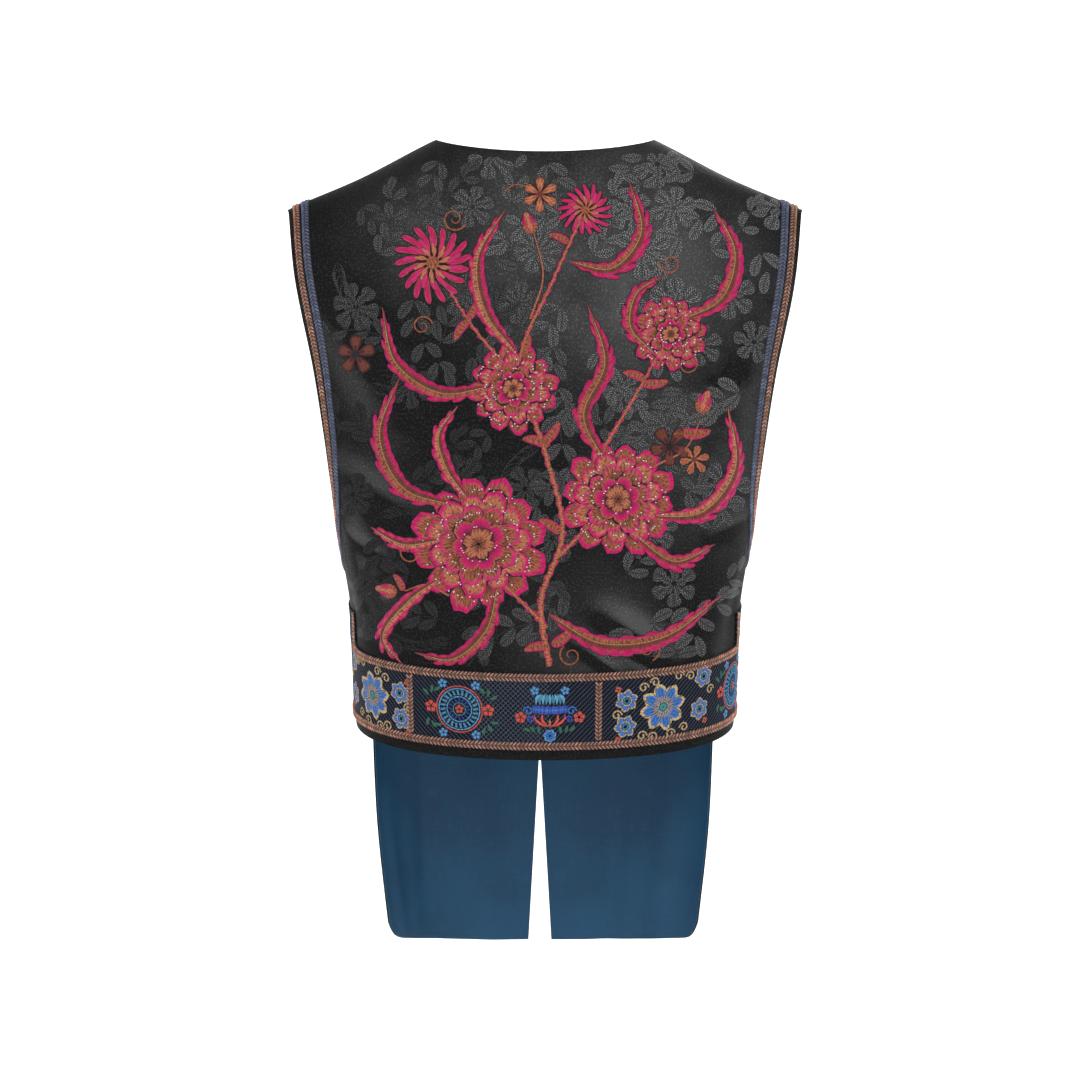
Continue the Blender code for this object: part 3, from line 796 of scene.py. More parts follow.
def ribbon_weave():
    """Navy ribbon hatched with fine silvery dashes, which slope one way, cross, then slope the other."""
    material, tree, shader, uv = start_material("ribbon_weave", IOR=1.12)
    apart = parts_of(tree, uv)
    rising = calc(tree, "SUBTRACT", apart["Y"], apart["X"])
    falling = calc(tree, "ADD", apart["Y"], apart["X"])
    from_wheel = calc(tree, "GREATER_THAN", apart["X"], HATCH_CROSS_FROM)
    to_pot = calc(tree, "LESS_THAN", apart["X"], HATCH_CROSS_TO)
    slopes = []
    for along, across, where in ((rising, falling, from_wheel), (falling, rising, to_pot)):
        line = stripe(tree, along, HATCH_PITCH, HATCH_SHARE)
        dashes = calc(tree, "MULTIPLY", line, stripe(tree, across, DASH_PITCH, DASH_SHARE))
        slopes.append(calc(tree, "MULTIPLY", dashes, where))
    dash = calc(tree, "MAXIMUM", *slopes, clamp=True)
    grain = noise(tree, uv, 800.0, 2.0, 0.6)
    ground = blend(tree, grain, (0.0022, 0.0028, 0.0055), (0.0060, 0.0080, 0.0150))
    silver = blend(tree, grain, (0.018, 0.026, 0.042), (0.17, 0.21, 0.27))
    colour = blend(tree, dash, ground, silver)
    rough = ramp_of(tree, dash, 0.0, 1.0, 0.62, 0.42)
    finish_material(tree, shader, colour, rough, calc(tree, "ADD", dash, grain), 0.00015)
    return material


def embroidery_thread():
    """Satin-stitched thread that takes its colour from each stitch, with painted shade in the grooves
    between its threads.
    """
    material, tree, shader, uv = start_material("embroidery_thread", Specular_IOR_Level=0.15)
    dye = thread_mark(tree)["Color"]
    thread = use(tree, "thread", UV=uv, Pitch=0.0009)
    uneven = ramp_of(tree, thread["Shade"], 0.30, 0.70, 0.62, 1.35)
    # A copy of the dye made unevenly bright, and a dark copy for painted shade in the grooves
    laid, gaps = (
        put(tree, "ShaderNodeHueSaturation", {"Color": dye, "Value": value}).outputs["Color"]
        for value in (uneven, 0.16)
    )
    by_tone = ramp_of(tree, hues_of(tree, dye)["Green"], 0.01, 0.07, 0.25, 0.85)
    dark = calc(tree, "MULTIPLY", thread["Speckle"], by_tone)
    # Grooves between the thread ridges are darkened towards the dark copy: painted shade
    between = calc(tree, "MULTIPLY", calc(tree, "SUBTRACT", 1.0, thread["Ridge"]), 0.40)
    colour = blend(tree, calc(tree, "MAXIMUM", dark, between), laid, gaps)
    rough = ramp_of(tree, thread["Shade"], 0.3, 0.7, 0.40, 0.58)
    finish_material(tree, shader, colour, rough, thread["Ridge"], 0.00022)
    return material


def silver_sequin():
    """Small silvered sequins."""
    material, tree, shader, uv = start_material("silver_sequin", Metallic=1.0)
    cloud = noise(tree, uv, 400.0, 1.0)
    colour = blend(tree, cloud, (0.30, 0.31, 0.33), (0.72, 0.74, 0.78))
    finish_material(tree, shader, colour, ramp_of(tree, cloud, 0.3, 0.7, 0.12, 0.30), cloud, 0.0001)
    return material


def pale_floor():
    """Pale studio paper."""
    material, tree, shader, _ = start_material("studio_paper")
    place = put(tree, "ShaderNodeTexCoord").outputs["Object"]
    cloud = noise(tree, place, 2.0)
    colour = blend(tree, cloud, (0.93, 0.93, 0.93), (0.96, 0.96, 0.96))
    shader.inputs["Emission Color"].default_value = (1, 1, 1, 1)
    shader.inputs["Emission Strength"].default_value = FLOOR_GLOW
    finish_material(tree, shader, colour, ramp_of(tree, cloud, 0, 1, 0.8, 0.9), cloud, 0.0001)
    return material


# Making meshes

def make_mesh(name, vertices, faces, materials, uv=None, dye=None, slots=None):
    """A mesh object at the origin, shaded smooth but for its edges."""
    mesh = bpy.data.meshes.new(name)
    mesh.from_pydata(vertices.tolist(), [], faces if isinstance(faces, list) else faces.tolist())
    for material in materials:
        mesh.materials.append(material)
    corner = np.zeros(len(mesh.loops), dtype=np.int32)
    mesh.loops.foreach_get("vertex_index", corner)
    if uv is not None:
        layer = mesh.uv_layers.new(name="cloth")
        layer.data.foreach_set("uv", np.asarray(uv, dtype=np.float32)[corner].ravel())
    if dye is not None:
        layer = mesh.color_attributes.new("thread", "FLOAT_COLOR", "POINT")
        rgba = np.concatenate([dye, np.ones((len(dye), 1))], 1)
        layer.data.foreach_set("color", rgba.astype(np.float32).ravel())
    if slots is not None:
        mesh.polygons.foreach_set("material_index", np.asarray(slots, dtype=np.int32))
    mesh.shade_smooth()
    mesh.set_sharp_from_angle(angle=math.radians(50))
    mesh.update()
    made = bpy.data.objects.new(name, mesh)
    bpy.context.scene.collection.objects.link(made)
    return made


def grid_faces(rows, columns, closed=False):
    """Squares between the points of a grid, whose rows may run round to the first again."""
    r = np.arange(rows if closed else rows - 1)[:, None]
    c = np.arange(columns - 1)[None, :]
    here, below = r * columns + c, (r + 1) % rows * columns + c
    return np.stack([here, below, below + 1, here + 1], -1).reshape(-1, 4)


def dress(piece, slot, *nodes):
    """Rides a piece on the garment and hides the solids that it stands for; slot, its finish, is not used.
    """
    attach(piece, "root")
    if nodes:
        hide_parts(*nodes)
    return piece


def shell(name, places, outer, inner, materials, uv=None):
    """A thin closed shell of cloth over a grid of places, with its outside and inside finishes."""
    turn, down = places
    rows, columns = turn.shape
    if uv is None:
        steps = np.linalg.norm(np.diff(figure_point(turn, down), axis=1), axis=-1)
        across = np.concatenate([np.zeros((rows, 1)), np.cumsum(steps, axis=1)], axis=1)
        uv = np.stack([across - across[:, [columns // 2]], down], -1)
    count = rows * columns
    index = np.arange(count).reshape(rows, columns)
    rim = np.concatenate([index[0, :-1], index[:-1, -1], index[-1, :0:-1], index[:0:-1, 0]])
    ahead = np.roll(rim, -1)
    front = grid_faces(rows, columns)
    edge = np.stack([rim, ahead, ahead + count, rim + count], -1)
    faces = np.concatenate([front, front[:, ::-1] + count, edge])
    slots = np.repeat([0, 1, 0], [len(front), len(front), len(edge)])
    vertices = np.concatenate([cloth_point(turn, down, out).reshape(-1, 3) for out in (outer, inner)])
    if inside_out(vertices, faces):
        faces = faces[:, ::-1]
    # Painted light and shade of the folds, kept in the thread attribute for the silk to read
    mark = np.tile(np.repeat(fold_light_mark(turn, down).reshape(-1, 1), 3, axis=1), (2, 1))
    return make_mesh(name, vertices, faces, materials, np.tile(uv.reshape(-1, 2), (2, 1)), mark, slots)


def inside_out(vertices, faces):
    """True if a closed mesh of squares faces inwards."""
    a, b, c, d = (vertices[faces[:, k]] for k in range(4))
    return ((a * np.cross(b, c)).sum() + (a * np.cross(c, d)).sum()) < 0


# Needlework: strips of laid thread, kept flat in a layout until they are put on the cloth

def curve(points, count):
    """A smooth line through a few layout points, evenly spaced."""
    points = np.array(points, dtype=float)
    at = run_length(points)
    tangent = np.gradient(points, at, axis=0)
    t = np.linspace(0, at[-1], 6 * count)
    i = np.clip(np.searchsorted(at, t, side="right") - 1, 0, len(at) - 2)
    h = (at[i + 1] - at[i])[:, None]
    s = ((t - at[i])[:, None]) / h
    dense = points[i] * (1 + 2 * s) * (1 - s) ** 2 + tangent[i] * h * s * (1 - s) ** 2
    dense = dense + points[i + 1] * (3 - 2 * s) * s * s + tangent[i + 1] * h * (s - 1) * s * s
    length = run_length(dense)
    even = np.linspace(0, length[-1], count)
    return np.stack([np.interp(even, length, dense[:, k]) for k in range(2)], -1)


def round_share(count):
    """Shares from 0 to 1, closer together towards both ends."""
    return (1 - np.cos(np.linspace(0, math.pi, count))) / 2


# How far the side edges of a strip sink into the cloth, in millimetres
SUNK_EDGE = 0.25


class Needlework:
    """Strips of thread in one layout, made into one piece."""

    def __init__(self, layout):
        self.layout = layout
        self.flat, self.height, self.uv, self.dye, self.faces = [], [], [], [], []
        self.count = 0

    def strip(self, line, half, rise, base, dye, lanes=7, along=False):
        """A raised strip on a line, half as wide as half says; dye(t, v) gives its colours."""
        line = np.asarray(line, dtype=float)
        half = np.broadcast_to(half, len(line)).astype(float)
        v = np.sin(np.linspace(-math.pi / 2, math.pi / 2, lanes))
        tangent = unit(np.gradient(line, axis=0) + 1e-9)
        normal = np.stack([-tangent[:, 1], tangent[:, 0]], -1)
        flat = line[:, None] + normal[:, None] * (v[None, :, None] * half[:, None, None])
        ends = np.minimum(half / max(half.max(), 1e-6) * 2.0, 1.0)[:, None]
        crown = np.sqrt(np.clip(1 - v * v, 0, 1))[None] * ends
        height = base + rise * crown - SUNK_EDGE * (np.abs(v) > 0.999)[None]
        length = run_length(line)
        across, runs = v[None] * half[:, None], np.broadcast_to(length[:, None], height.shape)
        uv = np.stack([across, runs] if along else [runs, across], -1) / 1000
        t = np.broadcast_to((length / max(length[-1], 1e-9))[:, None], height.shape)
        self.add(flat, height, uv, dye(t, np.broadcast_to(v[None], height.shape)))

    def add(self, flat, height, uv, dye):
        """Adds a grid of layout points with their heights in millimetres."""
        rows, columns = height.shape
        faces = grid_faces(rows, columns)
        self.faces.append(faces[:, ::-1] + self.count if turned(flat, faces) else faces + self.count)
        self.count += rows * columns
        self.flat.append(flat.reshape(-1, 2))
        self.height.append(np.ravel(height))
        self.uv.append(uv.reshape(-1, 2))
        self.dye.append(np.broadcast_to(dye, (rows, columns, 3)).reshape(-1, 3))

    def keep(self, inside):
        """Drops each strip that isn't wholly inside the cloth."""
        kept = [k for k, flat in enumerate(self.flat) if inside(*self.layout(flat)).all()]
        starts = np.concatenate([[0], np.cumsum([len(flat) for flat in self.flat])])
        fresh = np.concatenate([[0], np.cumsum([len(self.flat[k]) for k in kept])])
        self.faces = [self.faces[k] - starts[k] + fresh[n] for n, k in enumerate(kept)]
        for name in ("flat", "height", "uv", "dye"):
            setattr(self, name, [getattr(self, name)[k] for k in kept])

    def make(self, name, material):
        """Lays all the strips on the cloth as one mesh."""
        turn, down = self.layout(np.concatenate(self.flat))
        points = cloth_point(turn, down, np.concatenate(self.height) / 1000)
        faces = np.concatenate(self.faces)
        return make_mesh(name, points, faces, [material], np.concatenate(self.uv), np.concatenate(self.dye))


def turned(flat, faces):
    """True if squares in a layout run clockwise."""
    points = flat.reshape(-1, 2)
    a, b, c = (points[faces[:, k]] for k in range(3))
    one, two = b - a, c - b
    return (one[:, 0] * two[:, 1] - one[:, 1] * two[:, 0]).sum() < 0


def plain(colour):
    """Thread of one colour."""
    return lambda t, v: np.broadcast_to(np.array(colour), (*t.shape, 3))


def mixed(first, second, share):
    """Colours between two, by a share at each point."""
    return np.array(first) * (1 - share[..., None]) + np.array(second) * share[..., None]


def rimmed(core, edge, start=0.55, over=0.25, tip=2.0):
    """Thread of one colour that turns to another at the sides, and past a share of the length."""
    def dye(t, v):
        return mixed(core, edge, np.maximum(smooth((np.abs(v) - start) / over), smooth((t - tip) / 0.12)))
    return dye


def shaded(deep, core, edge):
    """A petal's thread: deep at its foot, which is partly the thread's own darker colour and partly painted
    shade under the next ring, then its own colour, and another along its rim.
    """
    def dye(t, v):
        to_rim = np.maximum(np.abs(v) * (0.30 + 0.62 * t), t)
        body = mixed(core, deep, 0.85 * smooth((0.70 - t) / 0.55))
        return mixed(body, edge, smooth((to_rim - 0.74) / 0.14))
    return dye


def halved(light, deep, edge):
    """A leaf's thread: one half light and one deep, with a bright edge."""
    def dye(t, v):
        return mixed(mixed(deep, light, smooth((v + 0.12) / 0.24)), edge, smooth((np.abs(v) - 0.72) / 0.12))
    return dye


def petal_line(centre, angle, near, far, bend=0.0, count=12):
    """A line out of a flower's centre, curved a little to one side."""
    t = round_share(count)
    out = near + (far - near) * t
    return polar(centre, out, angle + bend * t)


def petal_half(width, fullness=0.5, count=12):
    """Half widths of a petal: round at both ends and fuller towards its tip."""
    t = round_share(count)
    taper = (1 - fullness + 2 * fullness * t) / (1 + fullness * 0.6)
    return width / 2 * np.sqrt(np.clip(4 * t * (1 - t), 0, 1)) * taper


def ring_of_petals(
    work, centre, number, near, far, width, base, dye, rise=1.0, start=0.0, fullness=0.5, bend=0.0,
):
    """Narrow petals round a centre, each outlined in black thread."""
    for k in range(number):
        angle = start + 2 * math.pi * k / number
        reach = far * (1 + 0.07 * math.sin(5.3 * k + start))
        line = petal_line(centre, angle, near, reach, bend)
        half = petal_half(width, fullness)
        work.strip(line, half + 0.9, 0.25, base, plain(BLACK_THREAD), lanes=5, along=True)
        work.strip(line, half, rise, base + 0.12, dye, along=True)


def ruffled_petal(
    work, centre, aim, near, far, spread, rise, base, dye, rows=10, lanes=11, roundness=2.6,
):
    """A broad petal, fanned out from near a flower's centre to a ruffled rim."""
    t = np.linspace(0, 1, rows)[:, None]
    v = np.sin(np.linspace(-math.pi / 2, math.pi / 2, lanes))[None]
    rim = 1 - 0.30 * np.abs(v) ** roundness + 0.022 * np.cos(4 * math.pi * v + aim * 5)
    reach = near + (np.maximum(far * rim, near + 0.5) - near) * t
    angle = aim + spread * v * (0.70 + 0.30 * t)
    flat = polar(centre, reach, angle)
    crown = np.sqrt(np.clip(1 - v * v, 0, 1)) ** 0.7 * np.sqrt(np.clip(1 - t**5, 0, 1))
    height = base + rise * crown * (0.55 + 0.45 * t) - 0.2 * (t > 0.999)
    uv = np.stack([reach * spread * v, reach], -1) / 1000
    whole = np.broadcast_to(v, reach.shape)
    work.add(flat, height, uv, dye(np.broadcast_to(t, reach.shape), whole))


# A peony's rings of petals, from the outermost in: shares of its radius, and thread colours
PEONY_RINGS = table(
    "near far number core deep edge",
    (0.56, 1.00, 12, COPPER, BURGUNDY, MAGENTA),
    (0.40, 0.80, 11, PEACH, RUST, MAGENTA),
    (0.28, 0.61, 9, COPPER, BURGUNDY, ROSE),
    (0.16, 0.43, 7, MAGENTA, BURGUNDY, COPPER),
    (0.02, 0.24, 6, PEACH, RUST, COPPER),
)
RING_STEP = 0.55


def peony(work, centre, radius, start=0.0):
    """A full peony: rings of round petals, each outlined in black, that overlap like scales."""
    black = plain(BLACK_THREAD)
    for level, part in enumerate(PEONY_RINGS):
        number = part["number"]
        spread = 1.14 * math.pi / number
        dye = shaded(part["deep"], part["core"], part["edge"])
        for k in range(number):
            aim = start + 0.41 * level + 2 * math.pi * (k + 0.10 * math.sin(5.7 * k + level)) / number
            far = part["far"] * radius * (1 + 0.05 * math.sin(4.1 * k + 3 * level + start))
            near = part["near"] * radius
            lift = 0.35 + RING_STEP * level + 0.25 * (k % 2)
            wider = spread + 1.5 / far
            ruffled_petal(work, centre, aim, near, far + 1.2, wider, 0.3, lift - 0.05, black, 6, 7)
            ruffled_petal(work, centre, aim, near, far, spread, 0.55, lift + 0.10, dye)


# A chrysanthemum's rings of petals, from the outermost in: shares of its radius, and thread colours
CHRYSANTHEMUM_RINGS = table(
    "near far number width core",
    (0.36, 1.00, 17, 0.20, MAGENTA),
    (0.24, 0.74, 14, 0.17, ROSE),
    (0.14, 0.50, 10, 0.15, PEACH),
)


def button(work, centre, size, angle, rise, base, colour):
    """A small round heart of one colour."""
    line = petal_line(centre, angle, -size, size)
    work.strip(line, petal_half(2 * size, 0.0), rise, base, plain(colour))


def chrysanthemum(work, centre, radius, start=0.0):
    """Many narrow curling petals in three rings round a copper button."""
    for level, part in enumerate(CHRYSANTHEMUM_RINGS):
        near, far, width = (part[name] * radius for name in ("near", "far", "width"))
        dye = rimmed(part["core"], COPPER, 0.72, 0.2)
        base, turn = 0.45 + 0.35 * level, start + 0.2 * level
        ring_of_petals(work, centre, part["number"], near, far, width, base, dye, 0.7, turn, 0.35, 0.28)
    button(work, centre, 0.17 * radius, start, 1.0, 1.5, COPPER)


def blossom(work, centre, radius, petals, core, edge, heart, start=0.0):
    """A small flat flower with a round heart."""
    dye = rimmed(core, edge, 0.62, 0.25, 0.82)
    ring_of_petals(work, centre, petals, 0.16 * radius, radius, 3.6 * radius / petals, 0.45, dye, 0.6, start)
    inner = rimmed(edge, core, 0.5, 0.3)
    near, far, width = 0.05 * radius, 0.5 * radius, 1.7 * radius / petals
    ring_of_petals(work, centre, petals, near, far, width, 0.75, inner, 0.4, start)
    button(work, centre, 0.18 * radius, start, 0.5, 1.2, heart)


# The distance between the barbs of a long leaf and the thorns of a stem, and the width from which a
# stem has thorns, in millimetres
BARB_SPACING = 13.0
THORN_SPACING = 6.0
THORNED_WIDTH = 3.0


def barb(work, root, aim, reach, half, bend, base, core, edge):
    """A pointed barb on a black outline, brighter towards its tip."""
    line = petal_line(root, aim, 0.0, reach, bend, 9)
    half = half * (1 - np.linspace(0, 1, 9) ** 1.8) ** 0.9 + 0.05
    work.strip(line, half + 0.7, 0.1, base - 0.12, plain(BLACK_THREAD), lanes=3, along=True)
    work.strip(line, half, 0.5, base, rimmed(core, edge, 0.45, 0.3, 0.55), lanes=5, along=True)


def heading(line):
    """The direction of a line at each of its points."""
    return np.unwrap(np.arctan2(*np.gradient(line, axis=0).T[::-1]))


def long_leaf(work, points, width, core=COPPER, edge=MAGENTA, base=0.45):
    """A long curling leaf with pointed barbs, bright edges, and a gold vein between black lines."""
    count = 56
    line = curve(points, count)
    t = np.linspace(0, 1, count)
    body = np.sin(math.pi * (0.01 + 0.98 * t) ** 0.75)
    aim = heading(line)
    barbs = 2 * round(run_length(line)[-1] / BARB_SPACING)
    for k in range(barbs):
        side = 1 if k % 2 else -1
        at = int((0.04 + 0.84 * (k + 0.5) / barbs) * count)
        reach = width * (0.20 + 0.56 * body[at]) * (1 + 0.14 * math.sin(3.3 * k))
        away = aim[at] + side * (0.80 - 0.20 * t[at] + 0.10 * math.sin(4.7 * k))
        half = (0.15 + 0.85 * body[at]) * 0.36 * BARB_SPACING
        barb(work, line[at], away, reach, half, -side * 0.45, base - 0.08 + 0.10 * (k // 2 % 2), core, edge)
    half = 0.23 * width * body + 0.1
    work.strip(line, half + 0.5, 0.2, base + 0.30, plain(BLACK_THREAD), lanes=3)
    work.strip(line, half, 0.8, base + 0.42, halved(core, RUST, edge), lanes=11)
    work.strip(line[2:-6], 0.85, 0.15, base + 1.12, plain(BLACK_THREAD), lanes=3)
    work.strip(line[2:-6], 0.42, 0.20, base + 1.26, plain(GOLD), lanes=3)


def small_leaf(work, place, angle, length, core=COPPER, edge=MAGENTA):
    """A plain pointed leaf with a dark vein."""
    line = petal_line(place, angle, 0.0, length, 0.4, 14)
    t = np.linspace(0, 1, 14)
    half = 0.19 * length * np.sin(math.pi * t ** 0.8) + 0.05
    work.strip(line, half + 0.7, 0.1, 0.36, plain(BLACK_THREAD), lanes=3)
    work.strip(line, half, 0.7, 0.48, rimmed(core, edge, 0.6, 0.3), lanes=7)
    work.strip(line[1:-3], 0.35, 0.2, 1.15, plain(RUST), lanes=3)


def stem(work, points, width=2.6, base=0.42):
    """A satin-stitched stem that thins towards its end; a wide one has thorns."""
    count = 80
    half = width / 2 * (1 - 0.55 * np.linspace(0, 1, count))
    line = curve(points, count)
    work.strip(line, half + 0.5, 0.15, base - 0.08, plain(BLACK_THREAD), lanes=3)
    work.strip(line, half, 0.7, base, rimmed(PEACH, COPPER, 0.5, 0.3), lanes=5)
    if width < THORNED_WIDTH:
        return
    aim = heading(line)
    thorns = round(run_length(line)[-1] / THORN_SPACING)
    for k in range(thorns):
        side = 1 if k % 2 else -1
        at = int((k + 0.5) / thorns * count)
        away, reach = aim[at] + side * 0.75, 2.3 * half[at] + 2.5
        barb(work, line[at], away, reach, 1.3, -side * 0.4, base - 0.05, MAGENTA, ROSE)


def curl_line(centre, radius, start, turns, shrink, count):
    """A line that winds in towards its centre."""
    t = np.linspace(0, 1, count)
    return polar(centre, radius * (1 - shrink * t), start + 2 * math.pi * turns * t)


def tendril(work, centre, radius, start, turns, width=1.8, colour=COPPER):
    """A curl of thread that thins as it winds in."""
    line = curl_line(centre, radius, start, turns, 0.80, 40)
    work.strip(line, width / 2 * np.linspace(1, 0.6, 40), 0.6, 0.42, plain(colour), lanes=5)


# A bud's petals: how far each leans and its length and width as shares of the bud's radius
BUD_PETALS = table(
    "lean reach width core lift",
    (-0.5, 1.5, 0.7, MAGENTA, 0.5),
    (0.5, 1.5, 0.7, MAGENTA, 0.5),
    (0.0, 1.9, 0.8, PEACH, 0.8),
)


def bud(work, centre, radius, angle):
    """A closed bud of three petals in a pair of small leaves."""
    for part in BUD_PETALS:
        lean, base = part["lean"], part["lift"]
        line = petal_line(centre, angle + lean, 0.0, part["reach"] * radius, -lean * 0.7)
        half = petal_half(part["width"] * radius, 0.3)
        dye = rimmed(part["core"], MAGENTA, 0.5, 0.25)
        work.strip(line, half + 0.6, 0.2, base - 0.1, plain(BLACK_THREAD), lanes=5, along=True)
        work.strip(line, half, 0.9, base, dye, along=True)
    for lean in (-0.95, 0.95):
        line = petal_line(centre, angle + lean, 0.0, 1.1 * radius, -lean * 0.5)
        work.strip(line, petal_half(0.4 * radius, 0.0), 0.7, 0.9, plain(COPPER))


# The embroidered spray on the back: stems and long curling leaves, then flowers over them
STEMS = table(
    "points width",
    ([(4, -506), (-4, -446), (16, -384), (0, -306), (-24, -224), (8, -142), (34, -84)], 5.4),
    ([(2, -470), (-28, -440), (-58, -412)], 4.0),
    ([(12, -404), (36, -380), (64, -354)], 4.0),
    ([(-22, -240), (-66, -190), (-100, -136)], 3.4),
    ([(56, -300), (86, -250), (114, -200)], 3.4),
    ([(-90, -440), (-112, -430), (-132, -436)], 2.4),
    ([(104, -318), (132, -302), (146, -276)], 2.4),
    ([(-14, -180), (-2, -140), (-11, -96)], 2.4),
    ([(-38, -58), (-30, -52), (-22, -52), (-14, -58)], 1.4),
)
LEAVES = table(
    "points width",
    ([(-86, -356), (-132, -340), (-156, -290), (-138, -236)], 30),
    ([(-98, -424), (-128, -446), (-152, -482), (-134, -506)], 22),
    ([(-44, -430), (-56, -474), (-88, -500), (-122, -494)], 24),
    ([(4, -458), (50, -484), (108, -480), (168, -440)], 28),
    ([(100, -366), (146, -362), (178, -322), (172, -262)], 28),
    ([(58, -318), (36, -272), (56, -222), (40, -166)], 28),
    ([(-50, -244), (-98, -250), (-140, -222), (-154, -168)], 26),
    ([(-26, -214), (-56, -174), (-64, -124), (-38, -76)], 26),
    ([(24, -126), (62, -132), (90, -100), (80, -48)], 26),
    ([(130, -180), (166, -160), (180, -116), (160, -72)], 25),
    ([(-72, -350), (-92, -322), (-100, -290), (-82, -262)], 22),
    ([(84, -384), (122, -408), (160, -392)], 22),
    ([(104, -214), (80, -186), (86, -156), (112, -138)], 20),
    ([(-96, -388), (-134, -392), (-164, -376)], 20),
)
SMALL_LEAVES = table(
    "place angle length",
    ((4, -300), 2.5, 26),
    ((-2, -296), 0.5, 24),
    ((14, -382), 2.2, 24),
    ((-22, -214), 0.9, 22),
    ((22, -108), 2.3, 20),
    ((94, -238), 2.4, 22),
    ((92, -240), -0.3, 24),
    ((-72, -182), -2.6, 22),
    ((-74, -180), 0.7, 20),
    ((6, -486), 0.3, 26),
    ((4, -488), 2.9, 24),
    ((140, -290), 2.7, 20),
    ((-134, -436), 1.7, 18),
    ((128, -286), -0.35, 28),
)
TENDRILS = table(
    "centre radius start turns",
    ((-126, -400), 13, 0.6, 1.4),
    ((134, -222), 12, 2.4, -1.4),
    ((24, -496), 11, 2.2, 1.3),
    ((-86, -84), 12, -0.4, -1.4),
    ((118, -126), 11, 3.0, 1.3),
    ((-116, -186), 10, 0.2, 1.3),
    ((96, -490), 12, -1.2, 1.3),
)
PEONIES = table(
    "centre radius start",
    ((-62, -392), 63, 0.2),
    ((68, -350), 54, 0.9),
    ((-30, -246), 42, 1.7),
    ((118, -194), 36, 2.2),
)
CHRYSANTHEMUMS = table(
    "centre radius start",
    ((-106, -126), 37, 0.3),
    ((38, -76), 25, 1.0),
)
BUDS = table(
    "centre radius angle",
    ((146, -268), 12, 1.2),
    ((-140, -438), 11, 2.9),
    ((-12, -98), 11, 1.9),
)
BLOSSOMS = table(
    "centre radius petals core edge heart start",
    ((-180, -212), 19, 5, RUST, BURGUNDY, BLACK_THREAD, 0.3),
    ((117, -300), 20, 5, RUST, BURGUNDY, BLACK_THREAD, 0.9),
    ((-5, -61), 17, 6, PEACH, COPPER, RUST, 0.5),
    ((140, -312), 14, 6, COPPER, PEACH, RUST, 0.2),
)


def sew_spray():
    """The whole spray in raised satin stitch."""
    work = Needlework(back_layout)
    for row in STEMS:
        stem(work, **row)
    for number, row in enumerate(LEAVES):
        core = PEACH if number % 3 == 1 else COPPER
        long_leaf(work, **row, core=core, base=0.45 + 0.02 * number)
    sewn = (
        (small_leaf, SMALL_LEAVES), (tendril, TENDRILS), (peony, PEONIES),
        (chrysanthemum, CHRYSANTHEMUMS), (bud, BUDS), (blossom, BLOSSOMS),
    )
    for sew, rows in sewn:
        for row in rows:
            sew(work, **row)
    return dress(work.make("spray_embroidery", embroidery_thread()), "embroidery_thread")


SEQUIN_SEED = 5
SEQUIN_SPACING = 2.3
SEQUIN_SHARE = 0.36
SEQUIN_RADIUS = 0.65
SEQUIN_THICK = 0.35


def sew_sequins():
    """Small sequins, unevenly spaced along the black gaps between the peonies' rings."""
    draw = np.random.default_rng(SEQUIN_SEED)
    flat, height = [], []
    for row in PEONIES:
        for level, part in enumerate(PEONY_RINGS[1:], 1):
            reach = part["far"] * row["radius"] + 1.2
            angle = np.arange(0, 2 * math.pi, SEQUIN_SPACING / reach)
            angle = angle[draw.random(len(angle)) < SEQUIN_SHARE]
            reach = reach * (1 + draw.uniform(-0.05, 0.04, len(angle)))
            flat.append(polar(row["centre"], reach, angle))
            height.append(np.full(len(angle), 1.0 + RING_STEP * level))
    flat, height = np.concatenate(flat), np.concatenate(height)
    disc = polar((0, 0), SEQUIN_RADIUS, np.arange(8) * math.pi / 4)
    disc = np.concatenate([disc * 0.25, disc])
    lift = np.repeat([0.0, SEQUIN_THICK], 8)
    flat = (flat[:, None] + disc[None]).reshape(-1, 2)
    out = (height[:, None] + lift[None]).reshape(-1) / 1000
    points = cloth_point(*back_layout(flat), out)
    one = np.array([[k, k + 8, (k + 1) % 8 + 8, (k + 1) % 8] for k in range(8)])
    faces = (one + (np.arange(len(height)) * 16)[:, None, None]).reshape(-1, 4)
    piece = make_mesh("spray_sequins", points, faces, [silver_sequin()], flat / 1000)
    return dress(piece, "embroidery_thread")


# The silk's woven figures: leafy sprays, round-petalled flowers and fans of strokes, laid out on a
# grid that a seeded draw makes uneven. Their strength varies at random, and painted sheen makes them
# strongest at the upper right, fading to the lower left.
FIGURE_SPACING = (50, 44)
FIGURE_WANDER = 9
FIGURE_TOP = -28
FIGURE_COLUMNS = 9
FIGURE_SEED = 11
FIGURE_SIZES = {"leafy": 70, "round": 23, "fan": 34}
FIGURE_KINDS = ("leafy", "round", "leafy", "fan", "round", "leafy")
FANS_LEFT_OF = 40
STALK_BEND = 0.5

# How far the figures stay from the braids, the neck, the seams, the ribbon and the fronts' edges
CLEAR_OF_BRAIDS = 0.026
CLEAR_OF_NECK = 0.004
CLEAR_OF_SEAM = 0.006
CLEAR_OF_RIBBON = 0.084
CLEAR_OF_HEM = 0.030


